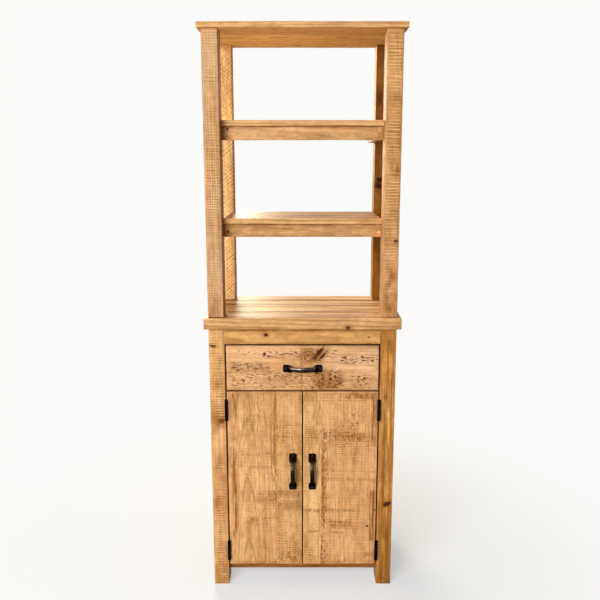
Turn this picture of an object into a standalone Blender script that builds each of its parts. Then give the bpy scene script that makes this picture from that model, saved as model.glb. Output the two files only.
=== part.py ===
"""Tall bathroom cabinet of rough-sawn, waxed softwood.

A base with one drawer over a pair of doors stands on four legs, under a planked worktop. An open
shelf unit on four posts stands on the worktop. Metres, +Z up, the front faces -Y, and the origin is
on the floor, in the middle of the whole outline.
"""

import math

import bmesh
import bpy
from mathutils import Matrix, Vector

LEFT, RIGHT = -1, 1
SIDES = {"left": LEFT, "right": RIGHT}

# Fits and edges
SEAT_GAP = 0.0003
ARRIS = 0.0015
SOFT_ARRIS = 0.003
PLANK_GROOVE_DEPTH = 0.0012

# Carcass of the base
OUTER_WIDTH = 0.600
CARCASS_DEPTH = 0.365
LEG_WIDTH = 0.050
LEG_DEPTH = 0.070
LEG_HEIGHT = 0.898
APRON_HEIGHT = 0.051
RAIL_THICKNESS = 0.020
MIDDLE_RAIL_HEIGHT = 0.036
BOTTOM_RAIL_HEIGHT = 0.050
BOTTOM_RAIL_DROP = 0.029
FLOOR_THICKNESS = 0.018
SIDE_PANEL_THICKNESS = 0.016
BACK_PANEL_THICKNESS = 0.010
BACK_PANEL_INSET = 0.010
PANEL_GROOVE_DEPTH = 0.008

# Worktop
WORKTOP_THICKNESS = 0.037
WORKTOP_SIDE_OVERHANG = 0.013
WORKTOP_FRONT_OVERHANG = 0.016
WORKTOP_PLANKS = 4

# Doors and drawer front, with the dark gaps that show round them
DOOR_HEIGHT = 0.612
DOOR_THICKNESS = 0.020
DRAWER_FRONT_HEIGHT = 0.147
LEVEL_GAP = 0.006
MEETING_GAP = 0.004
STOP_GAP = 0.0025
LEFT_DOOR_NARROW_PLANK = 0.084
RIGHT_DOOR_NARROW_PLANK = 0.060
LEDGE_HEIGHT = 0.070
LEDGE_THICKNESS = 0.018
LEDGE_END_INSET = 0.030
LEDGE_EDGE_INSET = 0.090

# Drawer box on side-hung wooden runners
DRAWER_LENGTH = 0.300
DRAWER_SIDE_HEIGHT = 0.115
DRAWER_SIDE_THICKNESS = 0.015
DRAWER_SIDE_INSET = 0.002
DRAWER_SIDE_RISE = 0.008
DRAWER_BACK_HEIGHT = 0.095
DRAWER_BOTTOM_THICKNESS = 0.006
DRAWER_BOTTOM_RISE = 0.010
DRAWER_GROOVE_DEPTH = 0.006
RUNNER_HEIGHT = 0.014
RUNNER_RISE = 0.052
RUNNER_GROOVE_DEPTH = 0.007
RUNNER_SIDE_CLEARANCE = 0.0008
RUNNER_UNDER_CLEARANCE = 0.001

# Butt hinges in the gaps beside the doors
HINGE_LENGTH = 0.068
HINGE_TOP_DROP = 0.061
HINGE_BOTTOM_RISE = 0.053
LEAF_THICKNESS = 0.0018
LEAF_DEPTH = 0.016
LEAF_CLEARANCE = 0.0006
KNUCKLE_COUNT = 5
KNUCKLE_RADIUS = 0.0052
KNUCKLE_GAP = 0.0006
KNUCKLE_STAND = 0.0006
TAB_INSET = 0.0008
PIN_RADIUS = 0.0024
PIN_CLEARANCE = 0.0003
PIN_HEAD_RADIUS = 0.0044
PIN_HEAD_HEIGHT = 0.0020
PIN_CROWN_RADIUS = 0.0026
ROUND_SIDES = 20

# Forged bow handles
HANDLE_LENGTH = 0.126
HANDLE_PROJECTION = 0.030
HANDLE_EDGE_INSET = 0.030
HANDLE_TOP_DROP = 0.275
PALM_LENGTH = 0.023
PALM_FLAT_LENGTH = 0.0125
PALM_WIDTH = 0.0245
PALM_CORNER_RADIUS = 0.005
PALM_SHOULDER = 0.0215
SHOULDER_LENGTH = 0.0090
PALM_THICKNESS = 0.0045
PALM_ROUNDING = 0.25
NECK_LENGTH = 0.0175
NECK_WIDTH = 0.0126
GRIP_WIDTH = 0.0145
GRIP_THICKNESS = 0.0095
GRIP_ROUNDING = 0.60
GRIP_BOW = 0.0080
HANDLE_RINGS = 48
HANDLE_RING_POINTS = 12

# Double magnetic catch under the middle rail
CATCH_WIDTH = 0.048
CATCH_DEPTH = 0.018
CATCH_HEIGHT = 0.014
CATCH_NOTCH = 0.006
CATCH_GAP = 0.0004
STRIKE_WIDTH = 0.018
STRIKE_HEIGHT = 0.012
STRIKE_THICKNESS = 0.0012
STRIKE_EDGE_INSET = 0.003

# Shelf unit
POST_WIDTH = 0.050
POST_DEPTH = 0.070
POST_HEIGHT = 0.869
REAR_LEFT_POST_WIDTH = 0.060
REAR_RIGHT_POST_WIDTH = 0.051
TOP_THICKNESS = 0.017
TOP_SIDE_OVERHANG = 0.012
TOP_FRONT_OVERHANG = 0.012
TOP_PLANKS = 3
SHELF_THICKNESS = 0.017
SHELF_PLANKS = 3
SHELF_FRONT_SETBACK = 0.037
LOWER_SHELF_HEIGHT = 0.309
UPPER_SHELF_HEIGHT = 0.609
SHELF_RAIL_SETBACK = 0.049
SHELF_RAIL_THICKNESS = 0.018
SHELF_RAIL_HEIGHT = 0.042
BEARER_WIDTH = 0.020
BEARER_HEIGHT = 0.030
DEEP_BEARER_HEIGHT = 0.042

# Finishes: colour, roughness, metallic
SAWN_PINE = ((0.72, 0.42, 0.17), 0.62, 0.0)
PALE_PINE = ((0.76, 0.46, 0.20), 0.60, 0.0)
SHADED_PINE = ((0.58, 0.30, 0.10), 0.66, 0.0)
BLACK_IRON = ((0.025, 0.021, 0.019), 0.42, 0.85)
ZINC_STEEL = ((0.45, 0.45, 0.44), 0.38, 1.0)
BROWN_PLASTIC = ((0.10, 0.055, 0.03), 0.50, 0.0)

# Planes that the pieces share
FRONT = -(CARCASS_DEPTH - HANDLE_PROJECTION) / 2
BACK = FRONT + CARCASS_DEPTH
HALF_WIDTH = OUTER_WIDTH / 2
HALF_OPENING = HALF_WIDTH - LEG_WIDTH
SIDE_GAP = 2 * (SEAT_GAP + LEAF_THICKNESS) + LEAF_CLEARANCE
WORKTOP_TOP = LEG_HEIGHT + WORKTOP_THICKNESS
POST_TOP = WORKTOP_TOP + POST_HEIGHT
APRON_BOTTOM = LEG_HEIGHT - APRON_HEIGHT
DRAWER_TOP = APRON_BOTTOM - LEVEL_GAP
DRAWER_BOTTOM = DRAWER_TOP - DRAWER_FRONT_HEIGHT
DOOR_TOP = DRAWER_BOTTOM - LEVEL_GAP
DOOR_BOTTOM = DOOR_TOP - DOOR_HEIGHT
DOOR_BACK = FRONT + DOOR_THICKNESS
RAIL_FRONT = DOOR_BACK + STOP_GAP
MIDDLE_RAIL_TOP = DRAWER_BOTTOM - STOP_GAP
MIDDLE_RAIL_BOTTOM = MIDDLE_RAIL_TOP - MIDDLE_RAIL_HEIGHT
BOTTOM_RAIL_BOTTOM = DOOR_BOTTOM - BOTTOM_RAIL_DROP
BOTTOM_RAIL_TOP = BOTTOM_RAIL_BOTTOM + BOTTOM_RAIL_HEIGHT
SIDE_PANEL_MIDDLE = HALF_WIDTH - LEG_WIDTH / 2
SIDE_PANEL_INNER = SIDE_PANEL_MIDDLE - SIDE_PANEL_THICKNESS / 2
BACK_PANEL_REAR = BACK - BACK_PANEL_INSET
BACK_PANEL_FRONT = BACK_PANEL_REAR - BACK_PANEL_THICKNESS
HINGE_AXIS_X = HALF_OPENING - SIDE_GAP / 2
HINGE_AXIS_Y = FRONT - KNUCKLE_RADIUS - KNUCKLE_STAND


def clear_scene():
    for thing in list(bpy.data.objects):
        bpy.data.objects.remove(thing, do_unlink=True)


def finish_material(name, finish):
    colour, roughness, metallic = finish
    material = bpy.data.materials.new(name + "_finish")
    material.use_nodes = True
    shader = material.node_tree.nodes["Principled BSDF"]
    shader.inputs["Base Color"].default_value = (*colour, 1.0)
    shader.inputs["Roughness"].default_value = roughness
    shader.inputs["Metallic"].default_value = metallic
    material.diffuse_color = (*colour, 1.0)
    return material


def assembly(name, origin=(0, 0, 0)):
    """An empty that carries the pieces of one rigid group. A moving group's is on its joint."""
    empty = bpy.data.objects.new(name, None)
    empty.location = origin
    bpy.context.scene.collection.objects.link(empty)
    return empty


def add_piece(name, shape, origin, finish, group):
    """Turns a bmesh drawn round the origin into a named piece of a group, at a world point."""
    bmesh.ops.recalc_face_normals(shape, faces=shape.faces)
    mesh = bpy.data.meshes.new(name)
    shape.to_mesh(mesh)
    shape.free()
    piece = bpy.data.objects.new(name, mesh)
    bpy.context.scene.collection.objects.link(piece)
    piece.parent = group
    piece.location = Vector(origin) - group.location
    mesh.materials.append(finish_material(name, finish))
    return piece


def ease_edges(piece, width, segments):
    bevel = piece.modifiers.new("eased_edges", "BEVEL")
    bevel.width = width
    bevel.segments = segments
    bevel.limit_method = "ANGLE"


def box_shape(size):
    shape = bmesh.new()
    bmesh.ops.create_cube(shape, size=1.0)
    bmesh.ops.scale(shape, vec=size, verts=shape.verts)
    return shape


def board(name, low, high, finish, group, arris=ARRIS, segments=1):
    """A board between two corners, with its arrises eased."""
    low, high = Vector(low), Vector(high)
    piece = add_piece(name, box_shape(high - low), (low + high) / 2, finish, group)
    ease_edges(piece, arris, segments)
    return piece


def mirrored_board(name, side, near, far, finish, group, arris=ARRIS, segments=1):
    """A board given by its corners on the right side, placed on the named side."""
    low = (min(side * near[0], side * far[0]), near[1], near[2])
    high = (max(side * near[0], side * far[0]), far[1], far[2])
    return board(name, low, high, finish, group, arris, segments)


def hide_helper(helper):
    helper.hide_render = True
    helper.display_type = "WIRE"


def combine(piece, helper, operation):
    hide_helper(helper)
    boolean = piece.modifiers.new(operation.lower(), "BOOLEAN")
    boolean.operation = operation
    boolean.object = helper


def add_helper(name, shape, origin, turn=None):
    mesh = bpy.data.meshes.new(name)
    shape.to_mesh(mesh)
    shape.free()
    helper = bpy.data.objects.new(name, mesh)
    helper.location = origin
    if turn:
        helper.rotation_euler = turn
    bpy.context.scene.collection.objects.link(helper)
    return helper


def cut_slot(piece, low, high):
    """Cuts a square-sided housing between two corners."""
    low, high = Vector(low), Vector(high)
    helper = add_helper(piece.name + "_slot_cutter", box_shape(high - low), (low + high) / 2)
    combine(piece, helper, "DIFFERENCE")


def cut_plank_joint(piece, point, axis, length):
    """Cuts the V that shows where two planks of a board meet, along X or Z."""
    width = PLANK_GROOVE_DEPTH * math.sqrt(2)
    eighth = math.pi / 4
    size = (length, width, width) if axis == "X" else (width, width, length)
    turn = (eighth, 0, 0) if axis == "X" else (0, 0, eighth)
    helper = add_helper(piece.name + "_joint_cutter", box_shape(size), point, turn)
    combine(piece, helper, "DIFFERENCE")


def prism_shape(outline, step):
    """A closed outline of 3-D points, drawn out along a step."""
    shape = bmesh.new()
    face = shape.faces.new([shape.verts.new(point) for point in outline])
    drawn = bmesh.ops.extrude_face_region(shape, geom=[face])["geom"]
    bmesh.ops.translate(shape, vec=step, verts=[v for v in drawn if isinstance(v, bmesh.types.BMVert)])
    return shape


def turned_shape(profile):
    """A solid turned about Z from (radius, height) points that start and end on the axis."""
    shape = bmesh.new()
    points = [shape.verts.new((radius, 0, height)) for radius, height in profile]
    edges = [shape.edges.new(pair) for pair in zip(points, points[1:])]
    bmesh.ops.spin(
        shape, geom=points + edges, axis=(0, 0, 1), cent=(0, 0, 0), angle=2 * math.pi, steps=ROUND_SIDES
    )
    bmesh.ops.remove_doubles(shape, verts=shape.verts, dist=1e-6)
    bmesh.ops.recalc_face_normals(shape, faces=shape.faces)
    return shape


def smooth_round(piece):
    piece.data.shade_smooth()
    piece.data.set_sharp_from_angle(angle=math.radians(35))


# Base cabinet


def make_legs(cabinet):
    """Four legs, grooved for the side panels and, at the rear, for the back panel."""
    panel_low = SIDE_PANEL_INNER - SEAT_GAP
    panel_high = SIDE_PANEL_MIDDLE + SIDE_PANEL_THICKNESS / 2 + SEAT_GAP
    groove_bottom = BOTTOM_RAIL_BOTTOM - SEAT_GAP
    groove_top = LEG_HEIGHT + SEAT_GAP
    for side_name, side in SIDES.items():
        panel_x = sorted((side * panel_low, side * panel_high))
        for end_name, near in (("front", FRONT), ("rear", BACK - LEG_DEPTH)):
            leg = mirrored_board(
                f"leg_{end_name}_{side_name}",
                side,
                (HALF_OPENING, near, 0),
                (HALF_WIDTH, near + LEG_DEPTH, LEG_HEIGHT),
                SAWN_PINE,
                cabinet,
                segments=2,
            )
            face = near + LEG_DEPTH if end_name == "front" else near
            reach = PANEL_GROOVE_DEPTH + SEAT_GAP
            cut_slot(
                leg,
                (panel_x[0], face - reach, groove_bottom),
                (panel_x[1], face + reach, groove_top),
            )
            if end_name == "rear":
                inner = side * HALF_OPENING
                cut_slot(
                    leg,
                    (inner - reach, BACK_PANEL_FRONT - SEAT_GAP, groove_bottom),
                    (inner + reach, BACK_PANEL_REAR + SEAT_GAP, groove_top),
                )


def make_panels(cabinet):
    """Side and back panels that stand in the grooves of the legs, and the notched floor."""
    top = LEG_HEIGHT - SEAT_GAP
    reach = PANEL_GROOVE_DEPTH
    for side_name, side in SIDES.items():
        mirrored_board(
            f"side_panel_{side_name}",
            side,
            (SIDE_PANEL_INNER, FRONT + LEG_DEPTH - reach, BOTTOM_RAIL_BOTTOM),
            (SIDE_PANEL_INNER + SIDE_PANEL_THICKNESS, BACK - LEG_DEPTH + reach, top),
            SHADED_PINE,
            cabinet,
        )
    board(
        "back_panel",
        (-HALF_OPENING - reach, BACK_PANEL_FRONT, BOTTOM_RAIL_BOTTOM),
        (HALF_OPENING + reach, BACK_PANEL_REAR, top),
        SHADED_PINE,
        cabinet,
    )
    make_floor(cabinet)


def make_floor(cabinet):
    """The floor fills the space between the panels, with a notch round each leg."""
    wide = SIDE_PANEL_INNER - SEAT_GAP
    narrow = HALF_OPENING - SEAT_GAP
    front = RAIL_FRONT
    front_notch = FRONT + LEG_DEPTH + SEAT_GAP
    rear_notch = BACK - LEG_DEPTH - SEAT_GAP
    rear = BACK_PANEL_FRONT - SEAT_GAP
    right = [(narrow, front), (narrow, front_notch), (wide, front_notch)]
    right += [(wide, rear_notch), (narrow, rear_notch), (narrow, rear)]
    outline = right + [(-x, y) for x, y in reversed(right)]
    shape = prism_shape([(x, y, 0) for x, y in outline], (0, 0, FLOOR_THICKNESS))
    floor = add_piece("floor_board", shape, (0, 0, BOTTOM_RAIL_TOP + SEAT_GAP), SHADED_PINE, cabinet)
    ease_edges(floor, ARRIS, 1)


def make_rails(cabinet):
    reach = HALF_OPENING - SEAT_GAP
    rails = (
        ("apron_rail", FRONT, APRON_BOTTOM, LEG_HEIGHT - SEAT_GAP, SAWN_PINE),
        ("middle_rail", RAIL_FRONT, MIDDLE_RAIL_BOTTOM, MIDDLE_RAIL_TOP, SHADED_PINE),
        ("bottom_rail", RAIL_FRONT, BOTTOM_RAIL_BOTTOM, BOTTOM_RAIL_TOP, SHADED_PINE),
    )
    for name, front, bottom, top, finish in rails:
        board(name, (-reach, front, bottom), (reach, front + RAIL_THICKNESS, top), finish, cabinet)


def make_worktop(cabinet):
    """Planks side by side, front to back, with softened arrises."""
    half = HALF_WIDTH + WORKTOP_SIDE_OVERHANG
    front = FRONT - WORKTOP_FRONT_OVERHANG
    pitch = (BACK - front + SEAT_GAP) / WORKTOP_PLANKS
    for number in range(WORKTOP_PLANKS):
        near = front + number * pitch
        board(
            f"worktop_plank_{number + 1}",
            (-half, near, LEG_HEIGHT + SEAT_GAP),
            (half, near + pitch - SEAT_GAP, WORKTOP_TOP),
            PALE_PINE,
            cabinet,
            SOFT_ARRIS,
            segments=2,
        )


# Doors


def make_door(side_name, cabinet):
    """A two-plank door with ledges on its back, a bow handle, a strike plate and two hinges."""
    side = SIDES[side_name]
    middle = (DOOR_TOP + DOOR_BOTTOM) / 2
    door = assembly(f"{side_name}_door_hinge_axis", (side * HINGE_AXIS_X, HINGE_AXIS_Y, middle))
    hung_edge = HALF_OPENING - SIDE_GAP
    free_edge = MEETING_GAP / 2
    panel = mirrored_board(
        f"{side_name}_door_panel",
        side,
        (free_edge, FRONT, DOOR_BOTTOM),
        (hung_edge, DOOR_BACK, DOOR_TOP),
        PALE_PINE,
        door,
        segments=2,
    )
    narrow_plank = LEFT_DOOR_NARROW_PLANK if side == LEFT else RIGHT_DOOR_NARROW_PLANK
    joint = side * (free_edge + narrow_plank)
    cut_plank_joint(panel, (joint, FRONT, middle), "Z", DOOR_HEIGHT + LEVEL_GAP)
    ledge_levels = {
        "top": DOOR_TOP - LEDGE_EDGE_INSET - LEDGE_HEIGHT,
        "bottom": DOOR_BOTTOM + LEDGE_EDGE_INSET,
    }
    for level, bottom in ledge_levels.items():
        mirrored_board(
            f"{side_name}_door_ledge_{level}",
            side,
            (free_edge + LEDGE_END_INSET, DOOR_BACK + SEAT_GAP, bottom),
            (hung_edge - LEDGE_END_INSET, DOOR_BACK + SEAT_GAP + LEDGE_THICKNESS, bottom + LEDGE_HEIGHT),
            SHADED_PINE,
            door,
        )
    handle_point = (side * (free_edge + HANDLE_EDGE_INSET), FRONT - SEAT_GAP, DOOR_TOP - HANDLE_TOP_DROP)
    make_handle(f"{side_name}_door_handle", handle_point, "Z", door)
    strike_bottom = MIDDLE_RAIL_BOTTOM - SEAT_GAP - (CATCH_HEIGHT + STRIKE_HEIGHT) / 2
    strike_near = free_edge + STRIKE_EDGE_INSET
    mirrored_board(
        f"{side_name}_door_strike_plate",
        side,
        (strike_near, DOOR_BACK + SEAT_GAP, strike_bottom),
        (strike_near + STRIKE_WIDTH, DOOR_BACK + SEAT_GAP + STRIKE_THICKNESS, strike_bottom + STRIKE_HEIGHT),
        ZINC_STEEL,
        door,
        STRIKE_THICKNESS / 4,
    )
    hinge_levels = {"top": DOOR_TOP - HINGE_TOP_DROP, "bottom": DOOR_BOTTOM + HINGE_BOTTOM_RISE}
    for level, height in hinge_levels.items():
        make_hinge(side_name, level, height, cabinet, door)


def knuckle_span(index):
    """Bottom and top of one knuckle, from the middle of its hinge."""
    pitch = HINGE_LENGTH / KNUCKLE_COUNT
    low = index * pitch - HINGE_LENGTH / 2
    return low + KNUCKLE_GAP / 2, low + pitch - KNUCKLE_GAP / 2


def make_leaf(name, plate_x, first, height, side, group):
    """One leaf of a butt hinge: a plate with tabs that run into every second knuckle."""
    tab_front = HINGE_AXIS_Y + PIN_RADIUS + PIN_CLEARANCE + TAB_INSET
    notch_front = HINGE_AXIS_Y + KNUCKLE_RADIUS + KNUCKLE_GAP
    rear = FRONT + LEAF_DEPTH
    outline = []
    for index in range(KNUCKLE_COUNT):
        low, high = knuckle_span(index)
        mine = index % 2 == first
        front = tab_front if mine else notch_front
        grow = -TAB_INSET if mine else TAB_INSET + KNUCKLE_GAP
        outline.append((front, low - grow if index else low + TAB_INSET))
        outline.append((front, high + grow if index < KNUCKLE_COUNT - 1 else high - TAB_INSET))
    outline += [(rear, outline[-1][1]), (rear, outline[0][1])]
    shape = prism_shape([(plate_x, y, z) for y, z in outline], (-side * LEAF_THICKNESS, 0, 0))
    leaf = add_piece(name, shape, (0, 0, height), BLACK_IRON, group)
    knuckles = bmesh.new()
    for index in range(first, KNUCKLE_COUNT, 2):
        low, high = knuckle_span(index)
        bmesh.ops.create_cone(
            knuckles,
            cap_ends=True,
            segments=ROUND_SIDES,
            radius1=KNUCKLE_RADIUS,
            radius2=KNUCKLE_RADIUS,
            depth=high - low,
            matrix=Matrix.Translation((0, 0, (low + high) / 2)),
        )
    axis = (side * HINGE_AXIS_X, HINGE_AXIS_Y, height)
    barrel = add_helper(name + "_knuckles", knuckles, axis)
    smooth_round(barrel)
    combine(leaf, barrel, "UNION")
    bore_radius = PIN_RADIUS + PIN_CLEARANCE
    reach = HINGE_LENGTH / 2 + PIN_HEAD_HEIGHT
    bore = turned_shape([(0, reach), (bore_radius, reach), (bore_radius, -reach), (0, -reach)])
    hole = add_helper(name + "_bore", bore, axis)
    smooth_round(hole)
    combine(leaf, hole, "DIFFERENCE")


def make_hinge(side_name, level, height, cabinet, door):
    """A butt hinge: a leaf on the leg, a leaf on the door's edge and the pin through both."""
    side = SIDES[side_name]
    name = f"{side_name}_hinge_{level}"
    leg_face = side * (HALF_OPENING - SEAT_GAP)
    door_face = side * (HALF_OPENING - SIDE_GAP + SEAT_GAP + LEAF_THICKNESS)
    make_leaf(f"{name}_leg_leaf", leg_face, 0, height, side, cabinet)
    make_leaf(f"{name}_door_leaf", door_face, 1, height, side, door)
    shoulder = HINGE_LENGTH / 2 + SEAT_GAP
    end = shoulder + PIN_HEAD_HEIGHT
    half = [(0, end), (PIN_CROWN_RADIUS, end), (PIN_HEAD_RADIUS, (shoulder + end) / 2)]
    half += [(PIN_HEAD_RADIUS, shoulder), (PIN_RADIUS, shoulder)]
    shape = turned_shape(half + [(radius, -z) for radius, z in reversed(half)])
    axis = (side * HINGE_AXIS_X, HINGE_AXIS_Y, height)
    smooth_round(add_piece(f"{name}_pin", shape, axis, BLACK_IRON, cabinet))


# Handles


def smooth_step(value):
    value = min(max(value, 0.0), 1.0)
    return value * value * (3 - 2 * value)


def handle_section(place):
    """Stand-off of the centre line, width, thickness and rounding at a place along the handle."""
    from_end = HANDLE_LENGTH / 2 - abs(place)
    up_neck = smooth_step((from_end - PALM_FLAT_LENGTH) / NECK_LENGTH)
    along_grip = smooth_step((from_end - PALM_LENGTH) / (HANDLE_LENGTH / 2 - PALM_LENGTH))
    narrowed = smooth_step((from_end - PALM_SHOULDER) / SHOULDER_LENGTH)
    width = PALM_WIDTH + (NECK_WIDTH - PALM_WIDTH) * narrowed
    width += (GRIP_WIDTH - NECK_WIDTH) * along_grip
    into_corner = min(max(PALM_CORNER_RADIUS - from_end, 0.0), PALM_CORNER_RADIUS)
    width -= 2 * (PALM_CORNER_RADIUS - math.sqrt(PALM_CORNER_RADIUS**2 - into_corner**2))
    thickness = PALM_THICKNESS + (GRIP_THICKNESS - PALM_THICKNESS) * up_neck
    rounding = PALM_ROUNDING + (GRIP_ROUNDING - PALM_ROUNDING) * up_neck
    grip_top = HANDLE_PROJECTION - SEAT_GAP - GRIP_THICKNESS / 2
    low = PALM_THICKNESS / 2
    stand = low + (grip_top - GRIP_BOW - low) * up_neck + GRIP_BOW * along_grip
    return stand, width, thickness, rounding


def ring_share(value, rounding):
    """How far out a ring's point lies, as a share of the half width: 1 on its flats."""
    widest = math.cos(math.pi / HANDLE_RING_POINTS)
    return math.copysign((abs(value) / widest) ** rounding, value)


def make_handle(name, centre, axis, group):
    """A forged bow handle, lofted through rounded sections from one flat palm to the other."""
    along = Vector((0, 0, 1)) if axis == "Z" else Vector((1, 0, 0))
    across = Vector((1, 0, 0)) if axis == "Z" else Vector((0, 0, 1))
    out = Vector((0, -1, 0))
    half = HANDLE_LENGTH / 2
    nudge = HANDLE_LENGTH / 1000
    shape = bmesh.new()
    rings = []
    for number in range(HANDLE_RINGS + 1):
        place = -half * math.cos(math.pi * number / HANDLE_RINGS)
        stand, width, thickness, rounding = handle_section(place)
        ahead, behind = handle_section(place + nudge)[0], handle_section(place - nudge)[0]
        slope = math.atan2(ahead - behind, 2 * nudge) if 0 < number < HANDLE_RINGS else 0.0
        normal = out * math.cos(slope) - along * math.sin(slope)
        middle = along * place + out * stand
        ring = []
        for step in range(HANDLE_RING_POINTS):
            turn = 2 * math.pi * (step + 0.5) / HANDLE_RING_POINTS
            wide = ring_share(math.cos(turn), rounding) * width / 2
            deep = ring_share(math.sin(turn), rounding) * thickness / 2
            ring.append(shape.verts.new(middle + across * wide + normal * deep))
        rings.append(ring)
    for ring, following in zip(rings, rings[1:]):
        for step in range(HANDLE_RING_POINTS):
            after = (step + 1) % HANDLE_RING_POINTS
            shape.faces.new((ring[step], ring[after], following[after], following[step]))
    shape.faces.new(rings[0])
    shape.faces.new(rings[-1])
    smooth_round(add_piece(name, shape, centre, BLACK_IRON, group))


# Drawer


def make_drawer(cabinet):
    """A drawer box behind its front, carried by runners that lie in grooves in its sides."""
    middle = (DRAWER_TOP + DRAWER_BOTTOM) / 2
    drawer = assembly("drawer_slide", (0, FRONT, middle))
    half_front = HALF_OPENING - SIDE_GAP
    front = board(
        "drawer_front",
        (-half_front, FRONT, DRAWER_BOTTOM),
        (half_front, DOOR_BACK, DRAWER_TOP),
        PALE_PINE,
        drawer,
        segments=2,
    )
    near = DOOR_BACK + SEAT_GAP
    far = near + DRAWER_LENGTH
    outer = half_front - DRAWER_SIDE_INSET
    inner = outer - DRAWER_SIDE_THICKNESS
    side_bottom = DRAWER_BOTTOM + DRAWER_SIDE_RISE
    side_top = side_bottom + DRAWER_SIDE_HEIGHT
    panel_bottom = side_bottom + DRAWER_BOTTOM_RISE
    panel_top = panel_bottom + DRAWER_BOTTOM_THICKNESS
    runner_bottom = side_bottom + RUNNER_RISE
    runner_top = runner_bottom + RUNNER_HEIGHT
    panel_edge = inner + DRAWER_GROOVE_DEPTH
    for side_name, side in SIDES.items():
        drawer_side = mirrored_board(
            f"drawer_side_{side_name}",
            side,
            (inner, near, side_bottom),
            (outer, far, side_top),
            SHADED_PINE,
            drawer,
        )
        panel_slot = sorted((side * (inner - SEAT_GAP), side * (panel_edge + SEAT_GAP)))
        cut_slot(
            drawer_side,
            (panel_slot[0], near - SEAT_GAP, panel_bottom - SEAT_GAP),
            (panel_slot[1], far + SEAT_GAP, panel_top + SEAT_GAP),
        )
        runner_slot = sorted((side * (outer - RUNNER_GROOVE_DEPTH), side * (outer + SEAT_GAP)))
        cut_slot(
            drawer_side,
            (runner_slot[0], near - SEAT_GAP, runner_bottom - RUNNER_UNDER_CLEARANCE),
            (runner_slot[1], far + SEAT_GAP, runner_top + SEAT_GAP),
        )
        mirrored_board(
            f"drawer_runner_{side_name}",
            side,
            (outer - RUNNER_GROOVE_DEPTH + RUNNER_SIDE_CLEARANCE, RAIL_FRONT, runner_bottom),
            (HALF_OPENING - SEAT_GAP, BACK_PANEL_FRONT - SEAT_GAP, runner_top),
            SHADED_PINE,
            cabinet,
        )
    board(
        "drawer_back",
        (-inner + SEAT_GAP, far - DRAWER_SIDE_THICKNESS, panel_top + SEAT_GAP),
        (inner - SEAT_GAP, far, panel_top + SEAT_GAP + DRAWER_BACK_HEIGHT),
        SHADED_PINE,
        drawer,
    )
    board(
        "drawer_bottom",
        (-panel_edge, DOOR_BACK - DRAWER_GROOVE_DEPTH, panel_bottom),
        (panel_edge, far, panel_top),
        SHADED_PINE,
        drawer,
    )
    cut_slot(
        front,
        (-panel_edge - SEAT_GAP, DOOR_BACK - DRAWER_GROOVE_DEPTH - SEAT_GAP, panel_bottom - SEAT_GAP),
        (panel_edge + SEAT_GAP, DOOR_BACK + SEAT_GAP, panel_top + SEAT_GAP),
    )
    make_handle("drawer_handle", (0, FRONT - SEAT_GAP, middle), "X", drawer)


def make_catch(cabinet):
    """A double magnetic catch: one body with a pole face for each door."""
    near = DOOR_BACK + SEAT_GAP + STRIKE_THICKNESS + CATCH_GAP
    top = MIDDLE_RAIL_BOTTOM - SEAT_GAP
    half = CATCH_WIDTH / 2
    catch = board(
        "door_catch",
        (-half, near, top - CATCH_HEIGHT),
        (half, near + CATCH_DEPTH, top),
        BROWN_PLASTIC,
        cabinet,
    )
    cut_slot(
        catch,
        (-CATCH_NOTCH / 2, near - SEAT_GAP, top - CATCH_HEIGHT - SEAT_GAP),
        (CATCH_NOTCH / 2, near + CATCH_DEPTH / 2, top + SEAT_GAP),
    )


# Shelf unit


def rear_post_width(side):
    return REAR_LEFT_POST_WIDTH if side == LEFT else REAR_RIGHT_POST_WIDTH


def make_posts(cabinet):
    bottom, top = WORKTOP_TOP + SEAT_GAP, POST_TOP
    for side_name, side in SIDES.items():
        for end_name, width, near in (
            ("front", POST_WIDTH, FRONT),
            ("rear", rear_post_width(side), BACK - POST_DEPTH),
        ):
            mirrored_board(
                f"post_{end_name}_{side_name}",
                side,
                (HALF_WIDTH - width, near, bottom),
                (HALF_WIDTH, near + POST_DEPTH, top),
                SAWN_PINE,
                cabinet,
                segments=2,
            )


def make_top(cabinet):
    half = HALF_WIDTH + TOP_SIDE_OVERHANG
    front = FRONT - TOP_FRONT_OVERHANG
    bottom = POST_TOP + SEAT_GAP
    top = board(
        "top_board",
        (-half, front, bottom),
        (half, BACK, POST_TOP + TOP_THICKNESS),
        SAWN_PINE,
        cabinet,
        SOFT_ARRIS,
        segments=2,
    )
    cut_plank_joints(top, front, BACK, TOP_PLANKS, half, (bottom, POST_TOP + TOP_THICKNESS))


def cut_plank_joints(piece, front, rear, planks, half, levels):
    for number in range(1, planks):
        place = front + (rear - front) * number / planks
        for level in levels:
            cut_plank_joint(piece, (0, place, level), "X", 2 * half + SEAT_GAP)


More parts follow.
